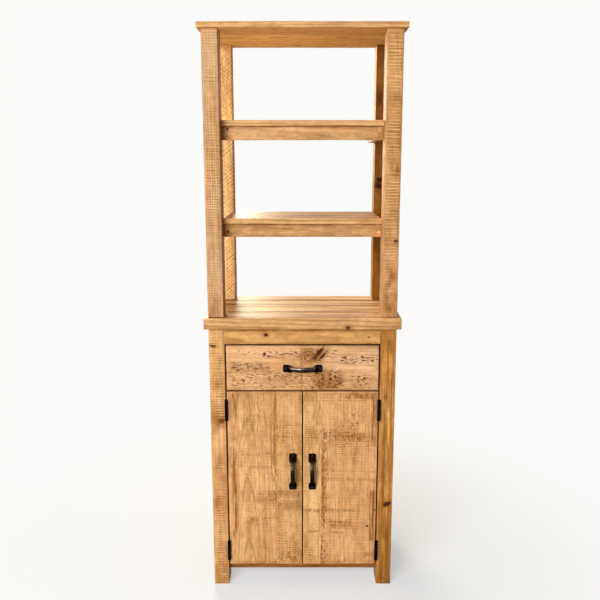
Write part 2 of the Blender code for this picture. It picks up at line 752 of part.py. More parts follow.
def make_shelf(level_name, height, right_bearer_height, cabinet):
    """A planked shelf between the posts, on a front rail and two side bearers."""
    top = WORKTOP_TOP + height
    bottom = top - SHELF_THICKNESS
    half = HALF_WIDTH - POST_WIDTH - SEAT_GAP
    front = FRONT + SHELF_FRONT_SETBACK
    shelf = board(
        f"shelf_{level_name}", (-half, front, bottom), (half, BACK, top), PALE_PINE, cabinet, segments=2
    )
    cut_plank_joints(shelf, front, BACK, SHELF_PLANKS, half, (top,))
    carrier_top = bottom - SEAT_GAP
    rail_front = FRONT + SHELF_RAIL_SETBACK
    rail_back = rail_front + SHELF_RAIL_THICKNESS
    board(
        f"shelf_rail_{level_name}",
        (-half, rail_front, carrier_top - SHELF_RAIL_HEIGHT),
        (half, rail_back, carrier_top),
        SAWN_PINE,
        cabinet,
        segments=2,
    )
    bearer_heights = {"left": BEARER_HEIGHT, "right": right_bearer_height}
    for side_name, side in SIDES.items():
        inner = HALF_WIDTH - rear_post_width(side)
        past_post = side * (inner - SEAT_GAP)
        notch = sorted((past_post, side * HALF_WIDTH))
        cut_slot(
            shelf,
            (notch[0], BACK - POST_DEPTH - SEAT_GAP, bottom - SEAT_GAP),
            (notch[1], BACK + SEAT_GAP, top + SEAT_GAP),
        )
        mirrored_board(
            f"shelf_bearer_{level_name}_{side_name}",
            side,
            (inner - SEAT_GAP - BEARER_WIDTH, rail_back + SEAT_GAP, carrier_top - bearer_heights[side_name]),
            (inner - SEAT_GAP, BACK, carrier_top),
            SAWN_PINE,
            cabinet,
        )


def main():
    clear_scene()
    cabinet = assembly("cabinet_frame")
    make_legs(cabinet)
    make_panels(cabinet)
    make_rails(cabinet)
    make_worktop(cabinet)
    make_drawer(cabinet)
    make_catch(cabinet)
    for side_name in SIDES:
        make_door(side_name, cabinet)
    make_posts(cabinet)
    make_top(cabinet)
    make_shelf("lower", LOWER_SHELF_HEIGHT, BEARER_HEIGHT, cabinet)
    make_shelf("upper", UPPER_SHELF_HEIGHT, DEEP_BEARER_HEIGHT, cabinet)


main()
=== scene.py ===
"""Dresses the tall bathroom cabinet: sawn boards, ironwork, screws, finishes and the studio.

The file is laid out as an add-on and is run as a script. Every group of pieces has its operator, and
the sizes and colours that someone would change are properties of the scene.
"""

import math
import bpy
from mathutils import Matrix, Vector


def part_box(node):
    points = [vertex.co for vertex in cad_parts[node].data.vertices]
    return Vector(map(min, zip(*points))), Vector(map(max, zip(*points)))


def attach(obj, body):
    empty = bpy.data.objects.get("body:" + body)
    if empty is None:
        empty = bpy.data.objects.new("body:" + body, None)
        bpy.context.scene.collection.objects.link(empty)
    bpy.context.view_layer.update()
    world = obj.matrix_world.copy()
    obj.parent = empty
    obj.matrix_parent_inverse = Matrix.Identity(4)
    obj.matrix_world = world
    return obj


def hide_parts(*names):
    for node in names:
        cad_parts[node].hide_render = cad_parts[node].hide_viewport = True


bl_info = {
    "name": "Sawn Pine Bathroom Cabinet",
    "version": (1, 0, 0),
    "blender": (4, 5, 0),
    "location": "View3D > Sidebar > Cabinet",
    "description": "Sawn boards, ironwork, screws and finishes for a tall bathroom cabinet",
    "category": "Object",
}

from dataclasses import dataclass

import bmesh
import bpy
import numpy as np
from bpy.props import FloatProperty, FloatVectorProperty, PointerProperty
from mathutils import Vector

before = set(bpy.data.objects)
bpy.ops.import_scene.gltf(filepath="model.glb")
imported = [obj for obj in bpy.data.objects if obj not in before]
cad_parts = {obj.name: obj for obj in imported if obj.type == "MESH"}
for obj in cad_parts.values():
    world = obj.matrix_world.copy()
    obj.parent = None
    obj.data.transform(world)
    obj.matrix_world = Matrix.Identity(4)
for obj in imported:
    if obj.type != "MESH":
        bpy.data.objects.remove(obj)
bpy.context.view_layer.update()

AXIS = {"X": 0, "Y": 1, "Z": 2}
# Most rows that one subdivision makes
CUTS_AT_ONCE = 20
# How far in from its edges a board is grimy, and how far it is worn
EDGE_REACH = 0.022
WEAR_REACH = 0.0045
# Sizes of the swells and of the chips on a board
WAVE_SIZE = 0.11
CHIP_SIZE = 0.009
# How far along the grain the figure of one plank lies from the next one's
PLANK_STEP = 5.3
# Edges that turn by less than this are smooth
SMOOTH_BOARDS = math.radians(40)
SMOOTH_FITTINGS = math.radians(35)
SHELF_PLANKS = 3
TOP_PLANKS = 3
# Plane of the front faces of the legs, doors and drawer, and level of the worktop
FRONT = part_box("leg_front_left")[0].y
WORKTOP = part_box("worktop_plank_1")[1].z


def colour_property(name, description, default):
    return FloatVectorProperty(
        name=name, description=description, default=default, subtype="COLOR", size=3, min=0.0, max=1.0
    )


def length_property(name, description, default):
    return FloatProperty(
        name=name, description=description, default=default, subtype="DISTANCE", unit="LENGTH"
    )


def power_property(name, description, default):
    return FloatProperty(
        name=name, description=description, default=default, subtype="POWER", unit="POWER"
    )


class CabinetTimber(bpy.types.PropertyGroup):
    """Colours of the waxed pine and the cut of its sawn surfaces."""

    pale: colour_property("Pale wood", "Early wood under honey wax", (0.725, 0.433, 0.206))
    honey: colour_property("Honey wood", "Main colour of the waxed boards", (0.600, 0.312, 0.118))
    umber: colour_property("Dark streak", "Heartwood streaks and late wood", (0.225, 0.080, 0.006))
    stain: colour_property("Saw mark", "Wax and dust that stay in the saw marks", (0.280, 0.105, 0.009))
    knot: colour_property("Knot", "Core of a knot, crack or pit", (0.045, 0.014, 0.005))
    arris: length_property("Arris", "Radius of the worn edges", 0.0020)
    joint: length_property("Joint", "Radius of the edges where planks meet", 0.0004)
    wave: length_property("Unevenness", "How far a sawn face swells and dips", 0.0010)
    chips: length_property("Chips", "How deep the arrises are chipped", 0.0011)
    kerf: length_property("Saw mark depth", "Height from ridge to furrow of the saw marks", 0.00045)
    row: length_property("Row", "Spacing of the mesh along a sawn board", 0.0016)
    column: length_property("Column", "Spacing of the mesh across a board", 0.0060)


class CabinetIron(bpy.types.PropertyGroup):
    """Colours of the ironwork and sizes of its screws."""

    black: colour_property("Black iron", "Main colour of handles and hinges", (0.0080, 0.0034, 0.0014))
    # Worn iron is also the paler colour of the painted sheen on the grips.
    worn: colour_property("Worn iron", "Rubbed high places", (0.100, 0.078, 0.056))
    zinc: colour_property("Zinc", "Plated strike plates", (0.50, 0.50, 0.48))
    plastic: colour_property("Catch body", "Brown plastic of the catch", (0.10, 0.055, 0.030))
    handle_screw: length_property("Handle screw", "Radius of a handle's screw heads", 0.0036)
    hinge_screw: length_property("Hinge screw", "Radius of a hinge's screw heads", 0.0027)
    rail_screw: length_property("Rail screw", "Radius of the screw heads in the shelf rails", 0.0036)
    plug: length_property("Plug", "Radius of the wooden plugs over rail screws", 0.0058)


class CabinetStage(bpy.types.PropertyGroup):
    """Camera, lamps and backdrop."""

    distance: length_property("Distance", "Camera in front of the legs' front faces", 2.167)
    height: length_property("Height", "Camera above the floor", 1.415)
    pitch: FloatProperty(
        name="Pitch",
        description="How far the camera looks down",
        default=math.radians(11.07),
        subtype="ANGLE",
        unit="ROTATION",
    )
    lens: FloatProperty(name="Lens", description="Focal length in mm", default=42.0)
    shift: FloatProperty(
        name="Shift", description="Sideways shift, as a share of the frame's width", default=-2.5 / 600
    )
    key: power_property("Key", "Power of the large lamp", 174.0)
    rear: power_property("Rear", "Power of the lamp behind", 64.0)
    bay: power_property("Bay", "Power of the lamp under the top board", 0.32)
    top: power_property("Top", "Power of the lamp over the top board", 1.5)
    fill: FloatProperty(name="Fill", description="Strength of the light from all round", default=0.18)
    glow: FloatProperty(name="Glow", description="How white the floor stays near the cabinet", default=0.50)
    paper: colour_property("Paper", "Backdrop and floor", (0.968, 0.960, 0.946))


def timber():
    return bpy.context.scene.cabinet_timber


def iron():
    return bpy.context.scene.cabinet_iron


@dataclass
class Knot:
    """A knot at a place across and along the grain, with its core, rings and slant in degrees."""

    across: float
    along: float
    radius: float
    stretch: float = 1.0
    core: float = 1.0
    rings: float = 0.5
    slant: float = 0.0
    ragged: float = 0.8


@dataclass
class Stain:
    """A soft-edged place with marks of one kind: a kind in STAINS, or lines, which are dense saw marks."""

    kind: str
    across: tuple
    along: tuple
    strength: float = 0.7
    soft: float = 0.010


@dataclass
class Look:
    """The figure of one piece of timber. Places are metres in the cabinet's frame.

    plank is where the planks of a one-piece board start and how deep each is. painted_top_light is the
    level of a top face and how much lighter it is painted, for the light and sheen on it. front is where a
    front face lies and the tint of the painted light and shade on it.
    """

    grain: str = "Z"
    seed: float = 0.0
    tint: tuple = (1.0, 1.0, 1.0)
    tone: float = 0.0
    ring_gap: float = 0.0090
    ring_depth: float = 0.40
    ring_span: tuple = (0.40, 0.93)
    pith: tuple = (0.012, 0.060)
    lean: float = 0.030
    strands: float = 0.14
    mottle: float = 0.14
    streaks: float = 0.35
    streak_size: tuple = (42.0, 16.0, 0.9)
    streak_span: tuple = (0.54, 0.74)
    smudge: float = 0.25
    grime: float = 0.40
    knots: tuple = ()
    stains: tuple = ()
    pits: float = 0.0
    cracks: float = 0.0
    wear: float = 0.5
    roughness: float = 0.50
    gloss: float = 0.07
    relief: bool = True
    plank: tuple = ()
    painted_top_light: tuple = ()
    front: tuple = ()


@dataclass
class Saw:
    """Furrows that a saw leaves on a board: their run, and how they show in its colour.

    Lengths are metres and slants are degrees.
    """

    pitch: float = 0.0070
    reach: float = 0.15
    wander: float = 4.0
    slant: float = 0.0
    cross_slant: float = 0.0
    depth: float = 1.0
    dark: float = 0.5
    bright: float = 0.4
    hatch: float = 0.0
    weave: float = 0.0
    thread: float = 0.0080
    breaks: float = 0.3
    dashes: tuple = (60.0, 60.0, 140.0)
    soak: float = 0.15
    patch_size: tuple = (12.0, 12.0, 6.0)
    cover: float = 0.6
    least: float = 0.08
    shine: float = 0.30
    margins: tuple = ()


# How fine each pattern in the wood is: repeats in a metre across, through and along the grain
FINENESS = {
    "fibre": (420.0, 420.0, 9.0),
    "strands": (115.0, 115.0, 3.2),
    "mottle": (80.0, 80.0, 38.0),
    "tone": (9.0, 9.0, 2.6),
    "smudges": (17.0, 17.0, 9.0),
    "smears": (34.0, 34.0, 11.0),
    "wear": (60.0, 60.0, 22.0),
    "joint dust": (30.0, 30.0, 5.0),
    "ring sway": (4.0, 4.0, 2.2),
    "shine": (16.0, 16.0, 8.0),
    "hatch": (130.0, 130.0, 2.0),
    "thread sway": (34.0, 34.0, 7.0),
    "stain edges": (15.0, 15.0, 11.0),
    "pitted places": (22.0, 22.0, 7.0),
    "pits": (200.0, 200.0, 75.0),
    "cracks": (105.0, 105.0, 14.0),
    "cracked places": (38.0, 38.0, 14.0),
}

# Fineness, where the pattern starts and is full, and the colour that each kind of stain has
STAINS = {
    "threads": ((110.0, 45.0, 10.0), 0.40, 0.64, "umber"),
    "dots": ((130.0, 130.0, 85.0), 0.54, 0.60, "knot"),
    "splits": ((215.0, 215.0, 70.0), 0.53, 0.575, "knot"),
    "fade": ((90.0, 90.0, 7.0), 0.25, 0.60, "pale"),
    "smudge": ((30.0, 30.0, 16.0), 0.32, 0.62, "umber"),
    "mottle": ((165.0, 165.0, 58.0), 0.44, 0.66, "umber"),
    "fibres": ((230.0, 230.0, 9.0), 0.44, 0.60, "umber"),
    "ticks": ((170.0, 170.0, 100.0), 0.50, 0.58, "umber"),
    "bands": ((150.0, 150.0, 26.0), 0.30, 0.66, "umber"),
}


class Recipe:
    """Builds a material or a world in short steps. The result of a step is an output socket."""

    def __init__(self, owner):
        self.owner = owner
        owner.use_nodes = True
        self.tree = owner.node_tree
        self.shader = self.tree.nodes.get("Principled BSDF")

    def node(self, kind, inputs, **settings):
        node = self.tree.nodes.new(kind)
        for key, value in settings.items():
            setattr(node, key, value)
        for key, value in inputs.items():
            self.feed(node.inputs[key], value)
        return node

    def feed(self, socket, value):
        if isinstance(value, bpy.types.NodeSocket):
            self.tree.links.new(value, socket)
        else:
            socket.default_value = value

    def math(self, operation, first, second=0.0):
        return self.node("ShaderNodeMath", {0: first, 1: second}, operation=operation).outputs[0]

    def times(self, *values):
        result = values[0]
        for value in values[1:]:
            result = self.math("MULTIPLY", result, value)
        return result

    def vector(self, x, y, z):
        return self.node("ShaderNodeCombineXYZ", {0: x, 1: y, 2: z}).outputs[0]

    def scaled(self, vector, scale):
        return self.node("ShaderNodeVectorMath", {0: vector, 1: scale}, operation="MULTIPLY").outputs[0]

    def noise(self, vector, fineness, detail=2.0, rough=0.5):
        place = self.scaled(vector, fineness)
        inputs = {"Vector": place, "Scale": 1.0, "Detail": detail, "Roughness": rough}
        return self.node("ShaderNodeTexNoise", inputs).outputs[0]

    def between(self, value, low, high, start=0.0, end=1.0):
        """Runs smoothly from start to end while the value goes from low to high."""
        inputs = {"Value": value, "From Min": low, "From Max": high, "To Min": start, "To Max": end}
        return self.node("ShaderNodeMapRange", inputs, interpolation_type="SMOOTHSTEP").outputs[0]

    def attribute(self, name):
        return self.node("ShaderNodeAttribute", {}, attribute_name=name).outputs["Fac"]

    def mix(self, share, first, second):
        node = self.node("ShaderNodeMix", {0: share, 6: first, 7: second}, data_type="RGBA")
        return node.outputs[2]

    def shaded(self, colour, share):
        """The colour made lighter or darker by a share."""
        node = self.node("ShaderNodeVectorMath", {0: colour, "Scale": share}, operation="SCALE")
        return node.outputs[0]

    def bump(self, height, distance, strength=1.0):
        inputs = {"Height": height, "Distance": distance, "Strength": strength}
        self.feed(self.shader.inputs["Normal"], self.node("ShaderNodeBump", inputs).outputs[0])


def tinted(colour, tint):
    """The colour with each part made more or less by the tint, and full cover."""
    return (*(min(1.0, part * share) for part, share in zip(colour, tint)), 1.0)


def timber_material(name, look, saw=None, middle=(0.0, 0.0, 0.0)):
    """Waxed, sawn pine: growth rings, fibres, streaks, saw marks, knots, cracks and worn edges."""
    recipe = Recipe(bpy.data.materials.new(name))
    colours = timber()
    place = recipe.node("ShaderNodeTexCoord", {}).outputs["Object"]
    split = recipe.node("ShaderNodeSeparateXYZ", {0: place})
    order = {"Z": (0, 1, 2), "X": (2, 1, 0), "Y": (0, 2, 1)}[look.grain]
    across, deep, along = (split.outputs[index] for index in order)
    seeded = recipe.math("ADD", along, look.seed)
    if look.plank:
        seeded = recipe.math("ADD", seeded, plank_shift(recipe, look, deep))
    board = recipe.vector(across, deep, seeded)
    pale, honey, umber = (
        tinted(colour, look.tint) for colour in (colours.pale, colours.honey, colours.umber)
    )

    centre = [middle[index] for index in order]
    late_wood = growth_rings(recipe, look, (across, deep, along), centre, board)
    fibre = recipe.noise(board, FINENESS["fibre"], 3.0, 0.6)
    strands = recipe.noise(board, FINENESS["strands"], 4.0, 0.65)
    mottle = recipe.noise(board, FINENESS["mottle"], 3.0, 0.7)
    tone = recipe.noise(board, FINENESS["tone"], 3.0, 0.6)
    paleness = recipe.between(tone, 0.30 - 0.5 * look.tone, 0.72 - 0.5 * look.tone)
    colour = recipe.mix(paleness, honey, pale)
    colour = recipe.shaded(colour, recipe.between(strands, 0.28, 0.72, 1 - look.strands, 1 + look.strands))
    colour = recipe.shaded(colour, recipe.between(mottle, 0.32, 0.68, 1 - look.mottle, 1 + look.mottle))
    colour = recipe.mix(recipe.times(late_wood, look.ring_depth), colour, umber)
    streaks = recipe.between(recipe.noise(board, look.streak_size, 3.0, 0.6), *look.streak_span)
    if look.painted_top_light:
        streaks = recipe.times(streaks, top_face_share(recipe, look, split, 0.15))
    colour = recipe.mix(recipe.times(streaks, look.streaks), colour, umber)
    smudges = recipe.between(recipe.noise(board, FINENESS["smudges"], 4.0, 0.65), 0.50, 0.74)
    colour = recipe.mix(recipe.times(smudges, look.smudge), colour, umber)
    colour = recipe.shaded(colour, recipe.between(fibre, 0.25, 0.75, 0.91, 1.09))
    height = recipe.math("ADD", recipe.times(fibre, 0.5), recipe.times(late_wood, 0.25))

    if look.plank:
        colour = recipe.mix(joint_shade(recipe, look, deep, board), colour, umber)
    if saw:
        colour = saw_marks(recipe, look, saw, colour, board, across, along, pale)
    if look.relief and look.grime:
        smears = recipe.between(recipe.noise(board, FINENESS["smears"], 3.0, 0.6), 0.36, 0.66)
        colour = recipe.mix(recipe.times(recipe.attribute("edge"), smears, look.grime), colour, umber)
    for kind in STAINS:
        colour = stained(recipe, kind, look, colour, across, along, board)
    for knot in look.knots:
        colour = knot_figure(recipe, knot, colour, across, along, board)
    if look.pits or look.cracks:
        colour, height = weathering(recipe, look, colour, height, board)
    if look.relief and look.wear:
        worn = recipe.between(recipe.noise(board, FINENESS["wear"], 2.0), 0.38, 0.62, 0.2, 1.0)
        colour = recipe.mix(recipe.times(recipe.attribute("arris"), worn, look.wear), colour, pale)
    # Painted light: the top face is painted lighter, for the light and sheen on it.
    if look.painted_top_light:
        lighter = recipe.shaded(colour, look.painted_top_light[1])
        colour = recipe.mix(top_face_share(recipe, look, split), colour, lighter)
    # Painted light and shade on the front face alone.
    if look.front:
        colour = front_light_and_shade(recipe, look, split, colour)

    roughness = recipe.between(fibre, 0.2, 0.8, look.roughness - 0.07, look.roughness + 0.10)
    recipe.feed(recipe.shader.inputs["Base Color"], colour)
    recipe.feed(recipe.shader.inputs["Roughness"], roughness)
    recipe.feed(recipe.shader.inputs["Specular IOR Level"], look.gloss)
    recipe.bump(height, 0.0005, 0.7)
    return recipe.owner


def top_face_share(recipe, look, split, start=0.0):
    """From start on a board's sides to one on its top face."""
    level = look.painted_top_light[0]
    return recipe.between(split.outputs["Z"], level - 0.0020, level - 0.0008, start, 1.0)


def front_light_and_shade(recipe, look, split, colour):
    """Tints the front face alone with painted light and shade, lighter or darker than the other faces."""
    level, tint = look.front
    share = recipe.between(split.outputs["Y"], level + 0.0035, level + 0.0012)
    node = recipe.node(
        "ShaderNodeMix", {0: share, 6: colour, 7: (*tint, 1.0)}, data_type="RGBA", blend_type="MULTIPLY"
    )
    return node.outputs[2]


def plank_shift(recipe, look, deep):
    """A long step along the grain for each plank of a board, so that every plank has its own figure."""
    start, depth = look.plank
    number = recipe.math("FLOOR", recipe.times(recipe.math("SUBTRACT", deep, start), 1 / depth))
    return recipe.times(number, PLANK_STEP)


def joint_shade(recipe, look, deep, board):
    """Wax and dust along the joints between a board's planks."""
    start, depth = look.plank
    planks_in = recipe.times(recipe.math("SUBTRACT", deep, start), 1 / depth)
    share = recipe.math("FRACT", planks_in)
    from_joint = recipe.math("SUBTRACT", 0.5, recipe.math("ABSOLUTE", recipe.math("SUBTRACT", share, 0.5)))
    patchy = recipe.between(recipe.noise(board, FINENESS["joint dust"], 3.0, 0.6), 0.35, 0.60, 0.5, 1.0)
    inner = recipe.between(planks_in, 0.5, 0.7)
    return recipe.times(recipe.between(from_joint, 0.13, 0.02), inner, patchy)


def growth_rings(recipe, look, place, middle, board):
    """Late wood lines: the board's cut through growth rings that lean and waver along the grain."""
    across, deep, along = place
    uneven = recipe.math("SUBTRACT", recipe.noise(board, FINENESS["ring sway"], 2.0), 0.5)
    sway = recipe.times(uneven, 0.03)
    tilt = look.lean / math.hypot(*look.pith)
    ring_place = recipe.vector(
        recipe.math("ADD", ring_offset(recipe, across, along, middle[0], look.pith[0], tilt), sway),
        ring_offset(recipe, deep, along, middle[1], look.pith[1], tilt),
        0.0,
    )
    inputs = {
        "Vector": ring_place,
        "Scale": 2 * math.pi / (20 * look.ring_gap),
        "Distortion": 2.0,
        "Detail": 3.0,
        "Detail Scale": 0.6,
    }
    rings = recipe.node(
        "ShaderNodeTexWave", inputs, wave_type="RINGS", rings_direction="Z", wave_profile="SAW"
    ).outputs["Fac"]
    return recipe.times(recipe.between(rings, *look.ring_span), recipe.between(rings, 1.0, 0.94))


def ring_offset(recipe, value, along, middle, pith, tilt):
    """How far a point lies from the rings' centre, which drifts away along the board."""
    drift = recipe.times(along, pith * tilt)
    return recipe.math("ADD", recipe.math("ADD", value, pith - middle), drift)


def saw_marks(recipe, look, saw, colour, board, across, along, pale):
    """Darkens the furrows and lightens the ridges that the saw left, in patches."""
    furrow = recipe.attribute("kerf")
    edge = 0.68 - 0.36 * saw.cover
    uneven = recipe.noise(board, saw.patch_size, 3.0, 0.6)
    patch = recipe.between(uneven, edge - 0.07, edge + 0.09, saw.least, 1.0)
    shine = recipe.between(recipe.noise(board, FINENESS["shine"], 3.0, 0.6), 0.36, 0.60, saw.shine, 1.0)
    for low, high, soft in saw.margins:
        from_left = recipe.between(across, low, low + soft)
        from_right = recipe.between(across, high, high - soft)
        inside = recipe.times(from_left, from_right)
        patch, shine = recipe.times(patch, inside), recipe.times(shine, inside)
    for share in windows(recipe, "lines", look, across, along, board):
        patch = recipe.math("MAXIMUM", patch, share)
    hatch = recipe.between(recipe.noise(board, FINENESS["hatch"], 2.0), 0.40, 0.60, 1.0 - saw.hatch, 1.0)
    broken = recipe.between(recipe.noise(board, saw.dashes, 3.0, 0.65), 0.40, 0.58, 1.0 - saw.breaks, 1.0)
    dark = recipe.times(recipe.between(furrow, 0.46, 0.82, saw.soak, 1.0), patch, hatch, broken, saw.dark)
    ridges = recipe.between(furrow, 0.40, 0.12)
    if saw.weave:
        sway = recipe.times(recipe.noise(board, FINENESS["thread sway"], 3.0, 0.6), 14.0)
        waves = recipe.math("ADD", recipe.times(across, 2 * math.pi / saw.thread), sway)
        threads = recipe.math("SINE", waves)
        dark = recipe.times(dark, recipe.between(threads, 0.8, -0.1, 1.0 - saw.weave, 1.0))
        ridges = recipe.math("MAXIMUM", ridges, recipe.times(recipe.between(threads, 0.1, 0.95), saw.weave))
    bright = recipe.times(ridges, shine, saw.bright)
    colour = recipe.mix(dark, colour, tinted(timber().stain, look.tint))
    return recipe.mix(bright, colour, tinted(pale[:3], (1.12, 1.15, 1.20)))


def windows(recipe, kind, look, across, along, board):
    """How strongly each stain of one kind lies on a point, with edges that wander."""
    stains = [stain for stain in look.stains if stain.kind == kind]
    if not stains:
        return []
    wander = recipe.math("SUBTRACT", recipe.noise(board, FINENESS["stain edges"], 3.0, 0.6), 0.5)
    loose = 0.004 if kind == "fibres" else 0.012
    across = recipe.math("ADD", across, recipe.times(wander, loose))
    along = recipe.math("ADD", along, recipe.times(wander, 0.022))
    shares = []
    for stain in stains:
        sides = []
        for value, (low, high) in ((across, stain.across), (along, stain.along)):
            sides.append(recipe.between(value, low - stain.soft, low + stain.soft))
            sides.append(recipe.between(value, high + stain.soft, high - stain.soft))
        shares.append(recipe.times(*sides, stain.strength))
    return shares


def stained(recipe, kind, look, colour, across, along, board):
    """Lays all the stains of one kind over a colour."""
    shares = windows(recipe, kind, look, across, along, board)
    if not shares:
        return colour
    fineness, start, full, shade = STAINS[kind]
    share = shares[0]
    for other in shares[1:]:
        share = recipe.math("MAXIMUM", share, other)
    pattern = recipe.between(recipe.noise(board, fineness, 3.0, 0.6), start, full)
    return recipe.mix(recipe.times(pattern, share), colour, (*getattr(timber(), shade), 1.0))


def knot_figure(recipe, knot, colour, across, along, board):
    """A knot: a dark core, and rings of late wood that are drawn round it."""
    rough = 1.3 / knot.radius
    uneven = recipe.math("SUBTRACT", recipe.noise(board, (rough, rough, 0.6 * rough), 2.0), 0.5)
    ragged = recipe.times(uneven, knot.ragged)
    side = recipe.math("SUBTRACT", across, knot.across)
    end = recipe.math("SUBTRACT", along, knot.along)
    cosine, sine = math.cos(math.radians(knot.slant)), math.sin(math.radians(knot.slant))
    wide, long = 1 / knot.radius, 1 / (knot.radius * knot.stretch)
    from_side = recipe.math("ADD", recipe.times(side, cosine * wide), recipe.times(end, sine * wide))
    from_end = recipe.math("SUBTRACT", recipe.times(end, cosine * long), recipe.times(side, sine * long))
    offset = recipe.vector(from_side, from_end, 0.0)
    span = recipe.node("ShaderNodeVectorMath", {0: offset}, operation="LENGTH")
    far = recipe.math("ADD", span.outputs["Value"], ragged)
    swirl = recipe.between(recipe.math("SINE", recipe.times(far, 8.0)), -0.3, 0.7, 0.3, 1.0)
    halo = recipe.times(recipe.between(far, 2.6, 0.8), swirl, knot.rings)
    core = recipe.times(recipe.between(far, 1.05, 0.60), knot.core)
    colour = recipe.mix(halo, colour, (*timber().umber, 1.0))
    return recipe.mix(core, colour, (*timber().knot, 1.0))


def weathering(recipe, look, colour, height, board):
    """Pits and short cracks that follow the grain, gathered in places."""
    pitted = recipe.between(recipe.noise(board, FINENESS["pitted places"], 2.0), 0.44, 0.62)
    pits = recipe.between(recipe.noise(board, FINENESS["pits"], 3.0, 0.65), 0.58, 0.65)
    pits = recipe.times(pits, pitted, look.pits)
    lines = recipe.math("SUBTRACT", recipe.noise(board, FINENESS["cracks"], 3.0, 0.65), 0.5)
    lines = recipe.between(recipe.math("ABSOLUTE", lines), 0.024, 0.008)
    cracked = recipe.between(recipe.noise(board, FINENESS["cracked places"], 2.0), 0.54, 0.62)
    cracks = recipe.times(lines, cracked, look.cracks)
    hollow = recipe.math("MAXIMUM", pits, cracks)
    colour = recipe.mix(recipe.times(hollow, 0.85), colour, (*timber().knot, 1.0))
    return colour, recipe.math("SUBTRACT", height, recipe.times(hollow, 1.6))


def iron_material(name, rub_and_sheen_band=None):
    """Forged iron: black, hammered in small facets, and paler and smoother where hands rub it, with a
    painted sheen on the grips.

    rub_and_sheen_band is the low and the high level of a grip's band of rubbing and painted sheen, and how
    soft its ends are.
    """
    recipe = Recipe(bpy.data.materials.new(name))
    colours = iron()
    place = recipe.node("ShaderNodeTexCoord", {}).outputs["Object"]
    split = recipe.node("ShaderNodeSeparateXYZ", {0: place})
    stand, level = split.outputs["Y"], split.outputs["Z"]
    hammered = recipe.node(
        "ShaderNodeTexVoronoi", {"Vector": place, "Scale": 210.0}, feature="SMOOTH_F1"
    ).outputs["Distance"]
    grime = recipe.noise(place, (120.0, 120.0, 120.0), 4.0, 0.6)
    held = recipe.between(stand, FRONT - 0.010, FRONT - 0.022, 0.15, 1.0)
    wear_and_sheen = recipe.times(recipe.between(grime, 0.46, 0.70), held, 0.5)
    # Painted sheen: the grip's band is paler, smoother iron where the lamp's highlight shows, as well as
    # rubbed by hands.
    if rub_and_sheen_band:
        low, high, soft = rub_and_sheen_band
        rub_and_sheen = recipe.times(
            recipe.between(level, low - soft, low + soft),
            recipe.between(level, high + soft, high - soft),
            recipe.between(stand, FRONT - 0.006, FRONT - 0.014),
            recipe.between(grime, 0.30, 0.55, 0.6, 1.0),
        )
        wear_and_sheen = recipe.math("MAXIMUM", wear_and_sheen, rub_and_sheen)
    colour = recipe.mix(wear_and_sheen, (*colours.black, 1.0), (*colours.worn, 1.0))
    recipe.feed(recipe.shader.inputs["Base Color"], colour)
    recipe.feed(recipe.shader.inputs["Metallic"], 1.0)
    recipe.feed(recipe.shader.inputs["Specular Tint"], (0.45, 0.28, 0.17, 1.0))
    recipe.feed(recipe.shader.inputs["Roughness"], recipe.between(wear_and_sheen, 0.0, 0.9, 0.38, 0.17))
    recipe.bump(recipe.math("ADD", hammered, recipe.times(grime, 0.35)), 0.0006, 0.5)
    return recipe.owner


def plain_material(name, colour, roughness, metallic, speckle):
    """A fitting's plain finish, broken by fine brushed or moulded speckle."""
    recipe = Recipe(bpy.data.materials.new(name))
    place = recipe.node("ShaderNodeTexCoord", {}).outputs["Object"]
    grain = recipe.noise(place, (900.0, 900.0, 120.0), 3.0)
    dark = tuple(part * (1 - speckle) for part in colour)
    speckled = recipe.mix(grain, (*dark, 1.0), (*colour, 1.0))
    uneven = recipe.between(grain, 0.2, 0.8, roughness - 0.08, roughness + 0.08)
    recipe.feed(recipe.shader.inputs["Base Color"], speckled)
    recipe.feed(recipe.shader.inputs["Metallic"], metallic)
    recipe.feed(recipe.shader.inputs["Roughness"], uneven)
    recipe.bump(grain, 0.0002, 0.4)
    return recipe.owner


def dress(node, material):
    """Gives a solid of the cabinet its finish."""
    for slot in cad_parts[node].material_slots:
        slot.material = material


def deselect():
    if bpy.context.mode != "OBJECT":
        bpy.ops.object.mode_set(mode="OBJECT")
    bpy.ops.object.select_all(action="DESELECT")


def edit():
    bpy.ops.object.mode_set(mode="EDIT")
    bpy.ops.mesh.select_mode(type="EDGE")


def settle(piece):
    """Puts a piece's place into its mesh and its object at the origin."""
    deselect()
    piece.select_set(True)
    bpy.context.view_layer.objects.active = piece
    bpy.ops.object.transform_apply(location=True, rotation=True, scale=True)


def begin_box(name, low, high):
    deselect()
    bpy.ops.mesh.primitive_cube_add(size=1.0, location=(low + high) / 2)
    piece = bpy.context.object
    piece.name = piece.data.name = name
    piece.scale = high - low
    settle(piece)
    return piece


def corners_of(piece):
    points = points_of(piece.data)
    return points.min(0), points.max(0)


def points_of(mesh):
    points = np.zeros(len(mesh.vertices) * 3, np.float32)
    mesh.vertices.foreach_get("co", points)
    return points.reshape(-1, 3).astype(float)


def normals_of(mesh):
    normals = np.zeros(len(mesh.vertices) * 3, np.float32)
    mesh.vertices.foreach_get("normal", normals)
    return normals.reshape(-1, 3).astype(float)


def keep_values(mesh, name, values):
    attribute = mesh.attributes.new(name, "FLOAT", "POINT")
    attribute.data.foreach_set("value", np.asarray(values, np.float32))


def choose_edges(piece, axis):
    """Selects the edges that run along one axis."""
    shape = bmesh.from_edit_mesh(piece.data)
    for edge in shape.edges:
        span = edge.verts[1].co - edge.verts[0].co
        edge.select_set(abs(span[axis]) > 0.995 * span.length)
    shape.select_flush_mode()
    bmesh.update_edit_mesh(piece.data)


